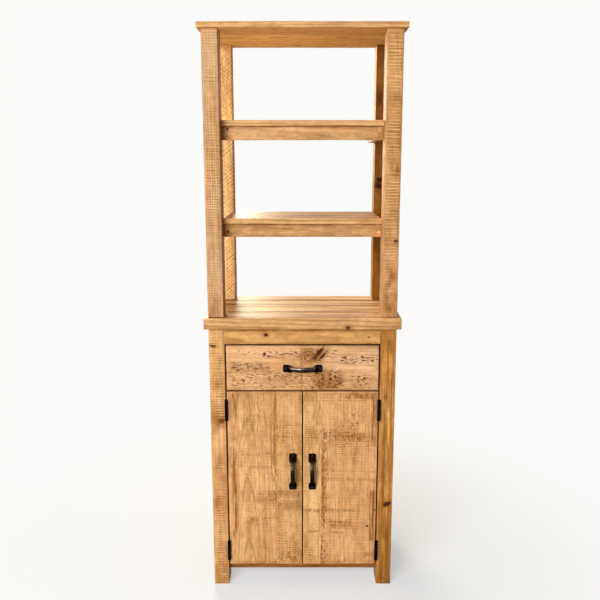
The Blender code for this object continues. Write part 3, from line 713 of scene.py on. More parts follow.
def divide(piece, axis, length, spacing):
    """Divides the edges along one axis, about one cut for each spacing."""
    parts = max(1, round(length / spacing))
    while parts > 1:
        step = min(parts, CUTS_AT_ONCE)
        choose_edges(piece, axis)
        bpy.ops.mesh.subdivide(number_cuts=step - 1)
        parts = round(parts / step)


def cloud_texture(name, size, depth, contrast):
    texture = bpy.data.textures.new(name, "CLOUDS")
    texture.noise_scale = size
    texture.noise_depth = depth
    texture.contrast = contrast
    return texture


def press(piece, texture, strength, guide=None, group="", level=0.5):
    """Raises and lowers a surface by a texture, and applies it."""
    relief = piece.modifiers.new("relief", "DISPLACE")
    relief.texture = texture
    relief.strength = strength
    relief.mid_level = level
    relief.vertex_group = group
    relief.texture_coords = "LOCAL"
    if guide:
        relief.texture_coords = "OBJECT"
        relief.texture_coords_object = guide
    bpy.ops.object.modifier_apply(modifier=relief.name)


def saw_texture(name, saw):
    """Even bands that waver, one for each stroke of the saw."""
    texture = bpy.data.textures.new(name, "WOOD")
    texture.wood_type = "BANDNOISE"
    texture.noise_basis_2 = "SIN"
    texture.noise_scale = 1.0
    texture.turbulence = saw.wander
    return texture


def saw_guide(saw, slant, seed):
    """An empty that sets a board's furrows to their pitch and slant."""
    deselect()
    bpy.ops.object.empty_add(location=(0.0, 0.0, seed))
    guide = bpy.context.object
    # The texture's bands repeat every 2 pi / 10 of its units, and lie across their diagonal
    stroke = saw.pitch * 10 / (2 * math.pi)
    guide.scale = (saw.reach, saw.reach, stroke)
    level = math.atan2(stroke, saw.reach)
    guide.rotation_euler = (level, -slant - level, 0.0)
    return guide


def press_saw_marks(piece, look, saw):
    """Cuts the furrows, and keeps how deep each point of the surface lies in them."""
    mesh = piece.data
    strength = timber().kerf * saw.depth
    before, normals = points_of(mesh), normals_of(mesh)
    texture = saw_texture(piece.name + "_saw", saw)
    strokes = [(saw.slant, 1.0)]
    if saw.cross_slant:
        strokes.append((saw.cross_slant, 0.5))
    for slant, share in strokes:
        guide = saw_guide(saw, math.radians(slant), look.seed)
        bpy.context.view_layer.objects.active = piece
        press(piece, texture, strength * share, guide)
        bpy.data.objects.remove(guide, do_unlink=True)
    piece.select_set(True)
    sunk = ((before - points_of(mesh)) * normals).sum(1)
    keep_values(mesh, "kerf", np.clip(0.5 + sunk / strength, 0.0, 1.0))


def keep_edges(piece, low, high):
    """Marks the points near an edge of the board, for wear close to it and grime further in."""
    points = points_of(piece.data)
    nearest = np.sort(np.minimum(np.abs(points - low), np.abs(high - points)), axis=1)[:, 1]
    worn = np.clip(1 - nearest / WEAR_REACH, 0.0, 1.0)
    keep_values(piece.data, "arris", worn)
    keep_values(piece.data, "edge", np.clip(1 - nearest / EDGE_REACH, 0.0, 1.0) ** 1.5)
    group = piece.vertex_groups.new(name="arris")
    for index in np.nonzero(worn > 0.05)[0]:
        group.add([int(index)], float(worn[index]), "REPLACE")


def sawn_board(name, low, high, look, saw=None, arris=None, panel=None):
    """A sawn board: rounded, divided, made uneven, chipped along its edges and marked by the saw.

    A plank of a panel is worn only along the panel's edges.
    """
    sizes = timber()
    arris = arris or sizes.arris
    piece = begin_box(name, low, high)
    edit()
    bpy.ops.mesh.select_all(action="SELECT")
    bpy.ops.mesh.bevel(offset=arris, segments=3, profile=0.5, affect="EDGES")
    grain = AXIS[look.grain]
    for axis in (grain, *(other for other in range(3) if other != grain)):
        spacing = sizes.row if axis == grain and saw else sizes.column
        divide(piece, axis, (high - low)[axis], spacing)
    bpy.ops.object.mode_set(mode="OBJECT")
    keep_edges(piece, *(panel or corners_of(piece)))
    press(piece, cloud_texture(name + "_wave", WAVE_SIZE, 1, 1.0), sizes.wave)
    chips = min(sizes.chips, 0.5 * arris)
    press(piece, cloud_texture(name + "_chips", CHIP_SIZE, 2, 1.4), chips, group="arris", level=0.8)
    if saw:
        press_saw_marks(piece, look, saw)
    piece.vertex_groups.clear()
    bpy.ops.object.shade_smooth_by_angle(angle=SMOOTH_BOARDS)
    piece.data.materials.append(timber_material(name + "_timber", look, saw, (low + high) / 2))
    return piece


def join(pieces, name):
    """Makes one piece of several."""
    deselect()
    for piece in pieces:
        piece.select_set(True)
    bpy.context.view_layer.objects.active = pieces[0]
    if len(pieces) > 1:
        bpy.ops.object.join()
    pieces[0].name = pieces[0].data.name = name
    return pieces[0]


def fit(piece, body, slot, *nodes):
    """Sets a finished piece on its body and hides the solids that it stands for. Its slot, for a finish, is
    not used.
    """
    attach(piece, body)
    if nodes:
        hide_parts(*nodes)


def board_for(node, body, slot, look, saw=None):
    low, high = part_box(node)
    fit(sawn_board(node + "_sawn", low, high, look, saw), body, slot, node)


def planked(node, axis, places, planks, body, slot, gap=0.0001):
    """A solid made of planks that meet at places along an axis, each with its own figure and saw."""
    low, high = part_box(node)
    ends = [low[axis], *places, high[axis]]
    pieces = []
    for number, (look, saw) in enumerate(planks):
        plank_low, plank_high = low.copy(), high.copy()
        plank_low[axis] = ends[number] + (gap / 2 if number else 0.0)
        plank_high[axis] = ends[number + 1] - (gap / 2 if number < len(planks) - 1 else 0.0)
        name = f"{node}_plank_{number + 1}"
        panel = (np.array(low), np.array(high))
        pieces.append(sawn_board(name, plank_low, plank_high, look, saw, timber().joint, panel))
    fit(join(pieces, node + "_sawn"), body, slot, node)


class CABINET_OT_posts(bpy.types.Operator):
    """Saws the four posts of the shelf unit"""

    bl_idname = "cabinet.posts"
    bl_label = "Posts"

    def execute(self, context):
        self.front_posts()
        self.rear_posts()
        return {"FINISHED"}

    def front_posts(self):
        stains = (
            Stain("smudge", (-0.300, -0.262), (0.935, 1.010), 0.45, 0.020),
            Stain("smudge", (-0.300, -0.250), (1.440, 1.480), 0.30, 0.020),
            # Painted shade: the inner edge of the front face and the inner side face are darker, as they
            # lie in shade.
            Stain("smudge", (-0.262, -0.249), (1.000, 1.300), 0.30, 0.006),
            Stain("bands", (-0.2505, -0.2400), (0.900, 1.850), 0.75, 0.0012),
            # Painted light: the top of the post is paler, where more light falls.
            Stain("fade", (-0.3200, -0.2520), (1.640, 1.900), 0.50, 0.0800),
            Stain("lines", (-0.2880, -0.2620), (1.530, 1.610), 0.55, 0.0140),
            Stain("lines", (-0.2880, -0.2620), (1.315, 1.480), 0.60, 0.0140),
            Stain("lines", (-0.2880, -0.2620), (0.935, 1.175), 0.85, 0.0140),
        )
        look = Look(
            seed=0.31, tint=(0.84, 0.92, 1.06), tone=0.15, streaks=0.15, ring_depth=0.10, grime=0.35,
            strands=0.08, gloss=0.03, stains=stains,
        )
        saw = Saw(
            pitch=0.0080, dark=0.95, bright=0.70, hatch=0.30, weave=0.75, thread=0.0078, cover=0.60,
            breaks=0.45, dashes=(34.0, 34.0, 130.0), soak=0.30, least=0.18, patch_size=(9.0, 9.0, 8.0),
            shine=0.15, margins=((-0.304, -0.247, 0.010),),
        )
        board_for("post_front_left", "cabinet", "frame_timber", look, saw)
        knots = (Knot(0.2902, 1.1776, 0.0085, 0.55, 0.85),)
        stains = (
            Stain("smudge", (0.270, 0.300), (1.375, 1.425), 0.75, 0.014),
            Stain("smudge", (0.262, 0.300), (1.560, 1.620), 0.50, 0.016),
            Stain("smudge", (0.256, 0.300), (1.165, 1.185), 0.70, 0.008),
            Stain("smudge", (0.250, 0.300), (0.935, 1.100), 0.85, 0.030),
            Stain("threads", (0.292, 0.301), (0.935, 1.800), 0.45, 0.004),
        )
        look = Look(
            seed=2.17, tint=(0.92, 0.90, 0.86), tone=0.10, streaks=0.25, ring_depth=0.15, grime=0.35,
            gloss=0.03, knots=knots, stains=stains,
        )
        saw = Saw(
            pitch=0.0092, wander=6.0, dark=0.65, bright=0.95, hatch=0.25, cover=0.55, breaks=0.60,
            depth=1.2, soak=0.35, least=0.15, dashes=(26.0, 26.0, 150.0), patch_size=(10.0, 10.0, 9.0),
            shine=0.10, margins=((0.250, 0.303, 0.010),),
        )
        board_for("post_front_right", "cabinet", "frame_timber", look, saw)

    def rear_posts(self):
        look = Look(
            seed=4.4, tint=(1.02, 1.08, 0.98), tone=0.30, streaks=0.25, ring_depth=0.15, grime=0.45,
            # Painted shade: the top of the post is darker, under the top board.
            gloss=0.03, stains=(Stain("bands", (-0.320, -0.230), (1.560, 1.850), 0.60, 0.060),),
            # Painted light: the front face is painted lighter than the other faces, where light falls on
            # it.
            front=(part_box("post_rear_left")[0].y, (1.22, 1.24, 1.23)),
        )
        saw = Saw(
            pitch=0.0105, slant=40.0, cross_slant=-38.0, dark=0.75, bright=0.85, cover=0.65, breaks=0.55,
            dashes=(60.0, 60.0, 60.0), depth=1.2, patch_size=(14.0, 14.0, 9.0), least=0.3,
        )
        board_for("post_rear_left", "cabinet", "frame_timber", look, saw)
        knots = (
            Knot(0.2660, 1.3573, 0.011, 1.0, 1.0),
            Knot(0.2640, 1.3380, 0.015, 0.8, 0.8),
            Knot(0.2600, 1.6300, 0.018, 1.3, 0.4),
        )
        look = Look(
            seed=6.9, tint=(0.94, 0.89, 0.76), ring_gap=0.0075, streaks=0.6,
            streak_size=(90.0, 40.0, 2.4), knots=knots, wear=0.25, gloss=0.03,
            # Painted shade: the front face is painted much darker than the other faces, as it lies in
            # shade.
            front=(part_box("post_rear_right")[0].y, (0.42, 0.33, 0.16)),
        )
        board_for("post_rear_right", "cabinet", "frame_timber", look, Saw(dark=0.2, bright=0.1, depth=0.6))


class CABINET_OT_legs(bpy.types.Operator):
    """Saws the four legs of the base"""

    bl_idname = "cabinet.legs"
    bl_label = "Legs"

    def execute(self, context):
        self.front_left_leg()
        self.front_right_leg()
        self.rear_legs()
        return {"FINISHED"}

    def front_left_leg(self):
        knots = (
            Knot(-0.2870, 0.8413, 0.0130, 0.32, 0.9, 0.6, -8.0),
            Knot(-0.2640, 0.5885, 0.0110, 0.8, 0.75, 0.8, 20.0),
            Knot(-0.2880, 0.6000, 0.0080, 2.2, 0.0, 0.5, 30.0),
        )
        stains = (
            Stain("smudge", (-0.300, -0.250), (0.700, 0.730), 0.60, 0.018),
            Stain("smudge", (-0.300, -0.250), (0.545, 0.640), 0.55, 0.020),
            Stain("smudge", (-0.292, -0.250), (0.380, 0.470), 0.55, 0.020),
            Stain("smudge", (-0.300, -0.262), (0.270, 0.330), 0.50, 0.016),
            Stain("smudge", (-0.300, -0.250), (0.000, 0.075), 0.60, 0.024),
            Stain("lines", (-0.300, -0.250), (0.000, 0.160), 0.75, 0.020),
        )
        look = Look(
            seed=9.3, tint=(1.01, 1.04, 1.03), tone=0.1, streaks=0.3, ring_depth=0.2, knots=knots,
            stains=stains,
        )
        saw = Saw(
            pitch=0.0086, dark=0.80, bright=0.55, breaks=0.6, soak=0.25, dashes=(24.0, 24.0, 150.0),
            patch_size=(9.0, 9.0, 6.0), margins=((-0.300, -0.240, 0.010),),
        )
        board_for("leg_front_left", "cabinet", "frame_timber", look, saw)

    def front_right_leg(self):
        knots = (Knot(0.2830, 0.2957, 0.0175, 0.5, 0.92, 0.8, 24.0), Knot(0.2700, 0.6700, 0.006, 1.4, 0.4))
        stains = (
            Stain("threads", (0.250, 0.300), (0.800, 0.900), 0.80, 0.030),
            Stain("threads", (0.262, 0.300), (0.640, 0.760), 0.70, 0.030),
            Stain("threads", (0.250, 0.290), (0.380, 0.560), 0.75, 0.030),
            Stain("threads", (0.250, 0.300), (-0.100, 0.220), 0.80, 0.040),
            Stain("fibres", (0.240, 0.310), (-0.100, 0.950), 0.60, 0.010),
            # Painted shade: the foot is darker towards the floor.
            Stain("smudge", (0.250, 0.300), (-0.100, 0.050), 0.80, 0.030),
            Stain("smudge", (0.258, 0.300), (0.820, 0.860), 0.60, 0.020),
            Stain("smudge", (0.256, 0.300), (0.715, 0.745), 0.50, 0.020),
        )
        look = Look(
            seed=12.1, tint=(0.97, 0.90, 0.63), streaks=0.8, streak_size=(110.0, 40.0, 2.2),
            grime=0.5, strands=0.24, mottle=0.18, knots=knots, stains=stains,
        )
        saw = Saw(dark=0.35, bright=0.25, cover=0.4, breaks=0.5, depth=0.8)
        board_for("leg_front_right", "cabinet", "frame_timber", look, saw)

    def rear_legs(self):
        saw = Saw(pitch=0.0090, wander=6.0, breaks=0.6)
        for node, seed in (("leg_rear_left", 14.7), ("leg_rear_right", 16.2)):
            board_for(node, "cabinet", "frame_timber", Look(seed=seed), saw)


class CABINET_OT_rails(bpy.types.Operator):
    """Cuts the apron rail and the rails and bearers under the shelves"""

    bl_idname = "cabinet.rails"
    bl_label = "Rails"

    def execute(self, context):
        self.apron()
        self.shelf_rails()
        self.bearers()
        return {"FINISHED"}

    def apron(self):
        knots = (Knot(0.8774, -0.1163, 0.0060, 1.3, 1.0, 0.8), Knot(0.8700, 0.2120, 0.0030, 1.3, 0.7))
        stains = (
            Stain("smudge", (0.846, 0.852), (-0.250, 0.250), 0.60, 0.004),
            # Painted shadow: a dark line along the top edge, under the worktop's overhang.
            Stain("smudge", (0.889, 0.900), (-0.250, 0.250), 1.0, 0.005),
            Stain("bands", (0.892, 0.910), (-0.250, 0.250), 1.0, 0.003),
        )
        look = Look(
            grain="X", seed=1.9, tint=(0.86, 0.84, 0.67), tone=0.05, streaks=0.25, ring_depth=0.3,
            knots=knots, stains=stains,
        )
        board_for("apron_rail", "cabinet", "frame_timber", look)

    def shelf_rails(self):
        for node, seed, tint in (
            ("shelf_rail_upper", 3.3, (0.94, 0.99, 1.03)),
            ("shelf_rail_lower", 5.2, (0.80, 0.82, 0.80)),
        ):
            low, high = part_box(node)
            stains = (
                # Painted shadow: a dark line along the top, under the shelf's overhang; painted shade at
                # both ends, in the corners at the posts.
                Stain("smudge", (high.z - 0.006, high.z), (low.x, high.x), 0.60, 0.004),
                Stain("bands", (high.z - 0.0045, high.z + 0.010), (low.x, high.x), 1.0, 0.003),
                Stain("smudge", (low.z, high.z), (low.x, low.x + 0.020), 0.60, 0.010),
                Stain("smudge", (low.z, high.z), (high.x - 0.020, high.x), 0.50, 0.010),
            )
            look = Look(
                grain="X", seed=seed, tint=tint, streaks=0.55, streak_size=(30.0, 16.0, 6.0),
                ring_depth=0.25, smudge=0.5, mottle=0.18, stains=stains,
            )
            board_for(node, "cabinet", "frame_timber", look)

    def bearers(self):
        bearer = timber_material("bearer_timber", Look(grain="Y", seed=7.7, relief=False))
        for level in ("upper", "lower"):
            for side in ("left", "right"):
                dress(f"shelf_bearer_{level}_{side}", bearer)


# Figure that the worktop and the shelves share, and that of the top board's flat-sawn planks
STRIPED = {
    "grain": "X", "pith": (0.070, 0.010), "streak_size": (60.0, 26.0, 0.6), "streak_span": (0.51, 0.59),
    "strands": 0.20, "ring_gap": 0.014, "ring_depth": 0.45, "roughness": 0.46, "grime": 0.55,
}
FLAT_SAWN = {"ring_depth": 0.50, "ring_span": (0.66, 0.93), "ring_gap": 0.010, "lean": 0.034}


class CABINET_OT_boards(bpy.types.Operator):
    """Lays the worktop, the top board and the shelves"""

    bl_idname = "cabinet.boards"
    bl_label = "Worktop, top and shelves"

    def execute(self, context):
        self.worktop()
        self.top_board()
        self.shelves()
        return {"FINISHED"}

    def worktop(self):
        figure = {**STRIPED, "streaks": 0.95, "gloss": 0.16}
        knots = (Knot(0.9040, 0.1436, 0.0065, 1.3, 1.0, 0.8),)
        # Painted shadow: a dark line along the bottom of the front edge, where it overhangs the apron.
        stains = (Stain("smudge", (0.896, 0.903), (-0.320, 0.320), 0.60, 0.004),)
        # Painted light: the top is painted lighter than the front edge, for the light and sheen on it.
        front = Look(
            seed=7.3, tint=(0.94, 0.97, 0.91), tone=0.25, painted_top_light=(WORKTOP, 1.38), knots=knots,
            stains=stains, **figure,
        )
        board_for("worktop_plank_1", "cabinet", "board_timber", front)
        for number in (2, 3, 4):
            # Painted light: planks 2 to 4 show only their tops, which are painted paler for the light and
            # sheen on them.
            look = Look(
                seed=8.1 * number, tint=(1.22, 1.31, 1.18), tone=0.50, painted_top_light=(WORKTOP, 1.15), **figure
            )
            board_for(f"worktop_plank_{number}", "cabinet", "board_timber", look)

    def top_board(self):
        low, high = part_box("top_board")
        depth = (high.y - low.y) / TOP_PLANKS
        joints = [low.y + depth * number for number in range(1, TOP_PLANKS)]
        planks = [
            (Look(grain="X", seed=seed, tone=tone, streaks=0.45, tint=tint, gloss=0.0, **cut), None)
            for seed, tone, tint, cut in (
                (2.6, 0.1, (1.05, 1.07, 1.06), {"ring_depth": 0.35}),
                (11.8, 0.6, (1.08, 1.07, 0.90), {**FLAT_SAWN, "pith": (0.062, 0.012)}),
                (21.3, 0.6, (1.08, 1.07, 0.90), {**FLAT_SAWN, "pith": (0.070, -0.018)}),
            )
        ]
        planked("top_board", AXIS["Y"], joints, planks, "cabinet", "board_timber")

    def shelves(self):
        for node, seed, tint in (
            ("shelf_upper", 6.1, (0.95, 0.98, 0.90)),
            ("shelf_lower", 15.2, (0.91, 0.95, 0.90)),
        ):
            low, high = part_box(node)
            plank = (low.y, (high.y - low.y) / SHELF_PLANKS)
            # Painted light: the top face is painted lighter than the front edge, for the light and sheen on
            # it.
            look = Look(
                seed=seed, tint=tint, tone=0.4, streaks=0.70, relief=False, plank=plank,
                painted_top_light=(high.z, 1.50), **STRIPED,
            )
            dress(node, timber_material(node + "_timber", look))


# Figure and saw that the planks of both doors share, and the widths of the narrow planks
DOOR_FIGURE = {
    "ring_depth": 0.44, "ring_span": (0.76, 0.93), "ring_gap": 0.0085, "strands": 0.12, "smudge": 0.35,
}
DOOR_SAW = {
    "pitch": 0.0080, "wander": 6.0, "dark": 0.80, "bright": 0.55, "breaks": 0.80, "depth": 0.35,
    "soak": 0.40, "dashes": (60.0, 60.0, 130.0), "thread": 0.0096, "shine": 0.05,
}
NARROW_LEFT = 0.084
NARROW_RIGHT = 0.060


class CABINET_OT_doors(bpy.types.Operator):
    """Builds the two planked doors and finishes their backs"""

    bl_idname = "cabinet.doors"
    bl_label = "Doors"

    def execute(self, context):
        self.left_panel()
        self.right_panel()
        self.backs()
        return {"FINISHED"}

    def left_panel(self):
        wide = Look(
            seed=18.4, tint=(0.99, 1.00, 0.98), tone=0.12, streaks=0.25, grime=0.6, pits=0.45,
            pith=(0.010, 0.062), lean=0.040, **DOOR_FIGURE,
            stains=(
                Stain("fibres", (-0.2330, -0.2130), (0.520, 0.680), 1.0, 0.006),
                Stain("fibres", (-0.2330, -0.2130), (0.180, 0.500), 0.95, 0.007),
                Stain("bands", (-0.2290, -0.2180), (0.190, 0.680), 0.60, 0.005),
                Stain("fibres", (-0.2410, -0.2330), (0.590, 0.670), 0.80, 0.006),
                Stain("fibres", (-0.1030, -0.0850), (0.400, 0.680), 0.80, 0.006),
                Stain("ticks", (-0.0980, -0.0850), (0.250, 0.600), 0.50, 0.006),
                Stain("bands", (-0.1160, -0.1060), (0.490, 0.560), 0.40, 0.006),
                Stain("bands", (-0.1310, -0.1200), (0.076, 0.350), 0.40, 0.006),
                Stain("bands", (-0.2050, -0.0850), (0.569, 0.580), 0.40, 0.004),
                Stain("bands", (-0.1450, -0.1050), (0.515, 0.530), 0.35, 0.005),
                Stain("bands", (-0.2000, -0.1000), (0.470, 0.479), 0.65, 0.003),
                Stain("bands", (-0.2400, -0.0850), (0.423, 0.434), 0.55, 0.004),
                Stain("bands", (-0.2100, -0.0850), (0.298, 0.345), 0.40, 0.010),
                Stain("lines", (-0.1500, -0.0850), (0.298, 0.345), 0.90, 0.008),
                Stain("bands", (-0.1280, -0.0860), (0.241, 0.247), 0.75, 0.003),
                Stain("bands", (-0.2450, -0.0850), (0.076, 0.084), 0.50, 0.006),
                Stain("mottle", (-0.1900, -0.1450), (0.215, 0.250), 0.45, 0.010),
                # Painted shade: darker over the upper half, to even out the lamp's stronger light there.
                Stain("bands", (-0.2500, -0.0800), (0.420, 0.760), 0.42, 0.090),
            ),
            knots=(
                Knot(-0.1610, 0.2390, 0.0090, 0.7, 0.0, 0.55, 10.0),
                Knot(-0.1860, 0.4010, 0.0016, 2.6, 0.8, 0.2),
            ),
        )
        narrow = Look(
            seed=23.9, tint=(0.95, 0.98, 0.92), tone=0.12, streaks=0.2, grime=0.5, pits=0.2,
            pith=(0.085, 0.030), lean=0.012, **DOOR_FIGURE,
            stains=(
                Stain("bands", (-0.0850, 0.0000), (0.655, 0.680), 0.40, 0.006),
                Stain("bands", (-0.0850, -0.0050), (0.569, 0.580), 0.45, 0.004),
                Stain("bands", (-0.0850, 0.0000), (0.524, 0.552), 0.35, 0.006),
                Stain("bands", (-0.0850, 0.0000), (0.470, 0.479), 0.55, 0.003),
                Stain("bands", (-0.0850, 0.0000), (0.323, 0.343), 0.60, 0.006),
                Stain("lines", (-0.0850, 0.0000), (0.270, 0.345), 1.0, 0.010),
                Stain("bands", (-0.0850, 0.0000), (0.274, 0.304), 0.55, 0.006),
                Stain("lines", (-0.0850, 0.0000), (0.090, 0.130), 0.9, 0.010),
                Stain("ticks", (-0.0750, 0.0000), (0.086, 0.130), 0.75, 0.010),
                Stain("ticks", (-0.0880, -0.0760), (0.076, 0.420), 0.55, 0.007),
                # Painted shade: darker over the upper half, to even out the lamp's stronger light there.
                Stain("bands", (-0.0900, 0.0100), (0.440, 0.760), 0.14, 0.080),
                Stain("mottle", (-0.0170, 0.0000), (0.360, 0.440), 0.90, 0.006),
            ),
        )
        planks = (
            (wide, Saw(patch_size=(7.0, 7.0, 8.0), cover=0.12, weave=0.15, least=0.05, **DOOR_SAW)),
            (narrow, Saw(patch_size=(9.0, 9.0, 7.0), cover=0.42, weave=0.50, least=0.15, **DOOR_SAW)),
        )
        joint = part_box("left_door_panel")[1].x - NARROW_LEFT
        planked("left_door_panel", AXIS["X"], [joint], planks, "left_door", "board_timber")

    def right_panel(self):
        narrow = Look(
            seed=27.2, tint=(1.10, 1.18, 1.14), tone=0.28, streaks=0.15, grime=0.4, pits=0.2,
            pith=(-0.080, 0.030), lean=0.012, **DOOR_FIGURE,
            stains=(
                Stain("bands", (0.0060, 0.0620), (0.524, 0.562), 0.55, 0.006),
                Stain("lines", (0.0060, 0.0620), (0.524, 0.562), 1.0, 0.008),
                Stain("bands", (0.0000, 0.0620), (0.266, 0.277), 0.75, 0.003),
                Stain("bands", (0.0140, 0.0580), (0.191, 0.198), 0.70, 0.003),
                Stain("bands", (0.0000, 0.0620), (0.655, 0.680), 0.30, 0.008),
                Stain("fibres", (0.0540, 0.0630), (0.076, 0.560), 0.70, 0.006),
                # Painted shade: darker over the upper half, to even out the lamp's stronger light there.
                Stain("bands", (-0.0100, 0.0700), (0.400, 0.760), 0.80, 0.090),
            ),
        )
        wide = Look(
            seed=30.8, tint=(1.01, 1.00, 0.99), tone=0.05, streaks=0.2, grime=0.6, pits=0.3,
            pith=(-0.024, 0.058), lean=-0.036, **DOOR_FIGURE,
            stains=(
                Stain("fibres", (0.0600, 0.0780), (0.076, 0.520), 0.70, 0.006),
                Stain("dots", (0.0600, 0.0790), (0.090, 0.420), 0.80, 0.006),
                Stain("ticks", (0.0560, 0.0800), (0.076, 0.520), 0.60, 0.008),
                Stain("fibres", (0.2270, 0.2420), (0.522, 0.676), 1.0, 0.008),
                Stain("bands", (0.2270, 0.2420), (0.500, 0.676), 0.60, 0.005),
                Stain("fibres", (0.2260, 0.2420), (0.165, 0.345), 1.0, 0.008),
                Stain("bands", (0.2270, 0.2420), (0.165, 0.345), 0.55, 0.006),
                Stain("bands", (0.0600, 0.2400), (0.526, 0.556), 0.50, 0.008),
                Stain("mottle", (0.0650, 0.2000), (0.524, 0.545), 0.70, 0.008),
                Stain("dots", (0.0620, 0.1150), (0.520, 0.560), 0.65, 0.008),
                Stain("dots", (0.1050, 0.1350), (0.545, 0.590), 0.60, 0.008),
                Stain("dots", (0.1500, 0.1950), (0.520, 0.545), 0.75, 0.008),
                Stain("dots", (0.1500, 0.1850), (0.560, 0.615), 0.60, 0.010),
                Stain("bands", (0.1400, 0.2450), (0.663, 0.682), 0.85, 0.005),
                Stain("lines", (0.0600, 0.2450), (0.655, 0.688), 0.80, 0.008),
                Stain("bands", (0.0600, 0.2450), (0.410, 0.416), 0.35, 0.003),
                Stain("bands", (0.0600, 0.2450), (0.378, 0.390), 0.40, 0.004),
                Stain("bands", (0.0600, 0.1700), (0.266, 0.277), 0.70, 0.003),
                Stain("bands", (0.0860, 0.1650), (0.210, 0.239), 0.60, 0.006),
                Stain("lines", (0.0860, 0.1650), (0.208, 0.240), 1.0, 0.006),
                Stain("bands", (0.0860, 0.1400), (0.191, 0.198), 0.55, 0.003),
                Stain("bands", (0.2080, 0.2420), (0.103, 0.122), 0.45, 0.004),
                Stain("mottle", (0.0600, 0.2000), (0.080, 0.118), 0.40, 0.010),
                Stain("fade", (0.1960, 0.2080), (0.350, 0.515), 0.60, 0.005),
                # Painted shade: darker over the upper half, to even out the lamp's stronger light there.
                Stain("bands", (0.0500, 0.2500), (0.420, 0.760), 0.22, 0.090),
            ),
            knots=(
                Knot(0.2172, 0.2156, 0.0046, rings=0.2),
                Knot(0.2410, 0.2740, 0.0038, core=0.9, rings=0.2),
            ),
        )
        planks = (
            (narrow, Saw(patch_size=(9.0, 9.0, 8.0), cover=0.24, weave=0.25, least=0.10, **DOOR_SAW)),
            (wide, Saw(patch_size=(7.0, 7.0, 8.0), cover=0.12, weave=0.15, least=0.05, **DOOR_SAW)),
        )
        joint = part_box("right_door_panel")[0].x + NARROW_RIGHT
        planked("right_door_panel", AXIS["X"], [joint], planks, "right_door", "board_timber")

    def backs(self):
        """Finishes the ledges and the strike plates."""
        ledge = timber_material("ledge_timber", Look(grain="X", seed=33.0, streaks=0.45, relief=False))
        zinc = plain_material("zinc_plate", iron().zinc, 0.36, 1.0, 0.25)
        for side in ("left", "right"):
            dress(f"{side}_door_ledge_top", ledge)
            dress(f"{side}_door_ledge_bottom", ledge)
            dress(f"{side}_door_strike_plate", zinc)


class CABINET_OT_drawer(bpy.types.Operator):
    """Builds the weathered drawer front and finishes the box behind it"""

    bl_idname = "cabinet.drawer"
    bl_label = "Drawer"

    def execute(self, context):
        self.front()
        self.box()
        return {"FINISHED"}

    def front(self):
        knots = (
            Knot(0.8100, 0.0190, 0.0150, 1.05, 0.0, 1.0, 25.0, 2.2),
            Knot(0.8214, 0.0545, 0.0240, 0.34, 1.0, 0.7, 42.0),
            Knot(0.8075, 0.0640, 0.0180, 0.30, 0.9, 0.6, 42.0),
            Knot(0.8020, 0.0400, 0.0090, 0.60, 0.8, 0.6, 30.0),
            Knot(0.7250, -0.1900, 0.0032, 1.0, 1.0, 0.2),
            Knot(0.7020, 0.0310, 0.0036, 1.0, 1.0, 0.2),
        )
        stains = (
            Stain("dots", (0.696, 0.754), (0.045, 0.118), 1.0, 0.012),
            Stain("dots", (0.700, 0.750), (0.158, 0.225), 0.9, 0.012),
            Stain("splits", (0.696, 0.760), (0.030, 0.130), 1.0, 0.012),
            Stain("splits", (0.757, 0.787), (-0.232, -0.105), 0.8, 0.006),
            Stain("dots", (0.757, 0.787), (-0.225, -0.120), 0.5, 0.006),
            Stain("splits", (0.728, 0.748), (-0.215, -0.140), 0.8, 0.006),
            Stain("splits", (0.803, 0.824), (-0.130, -0.010), 1.0, 0.006),
            Stain("splits", (0.694, 0.760), (-0.235, 0.030), 0.55, 0.010),
            Stain("dots", (0.730, 0.760), (-0.100, 0.100), 0.5, 0.010),
            Stain("splits", (0.814, 0.828), (-0.205, -0.150), 0.9, 0.005),
            Stain("splits", (0.784, 0.810), (0.120, 0.245), 1.0, 0.006),
            Stain("splits", (0.800, 0.830), (0.060, 0.110), 0.7, 0.008),
            Stain("dots", (0.790, 0.835), (0.030, 0.062), 0.7, 0.008),
            Stain("smudge", (0.696, 0.752), (0.035, 0.125), 0.50, 0.014),
            Stain("smudge", (0.757, 0.787), (-0.232, -0.105), 0.35, 0.010),
            Stain("smudge", (0.785, 0.840), (-0.005, 0.065), 0.50, 0.012),
            Stain("bands", (0.690, 0.845), (-0.0070, -0.0010), 0.60, 0.003),
            Stain("bands", (0.696, 0.752), (0.030, 0.125), 0.45, 0.012),
        )
        look = Look(
            grain="X", seed=36.6, tint=(1.02, 1.09, 1.24), tone=0.12, streaks=0.12, ring_depth=0.15,
            grime=0.35, mottle=0.10, pits=0.35, cracks=0.35, knots=knots, stains=stains,
        )
        board_for("drawer_front", "drawer", "board_timber", look)

    def box(self):
        sides = Look(grain="Y", seed=38.0, tone=0.15, streaks=0.2, relief=False)
        side_timber = timber_material("drawer_box_timber", sides)
        for node in ("drawer_side_left", "drawer_side_right"):
            dress(node, side_timber)
        level = timber_material("drawer_level_timber", Look(grain="X", seed=39.5, tone=0.15, relief=False))
        for node in ("drawer_back", "drawer_bottom"):
            dress(node, level)


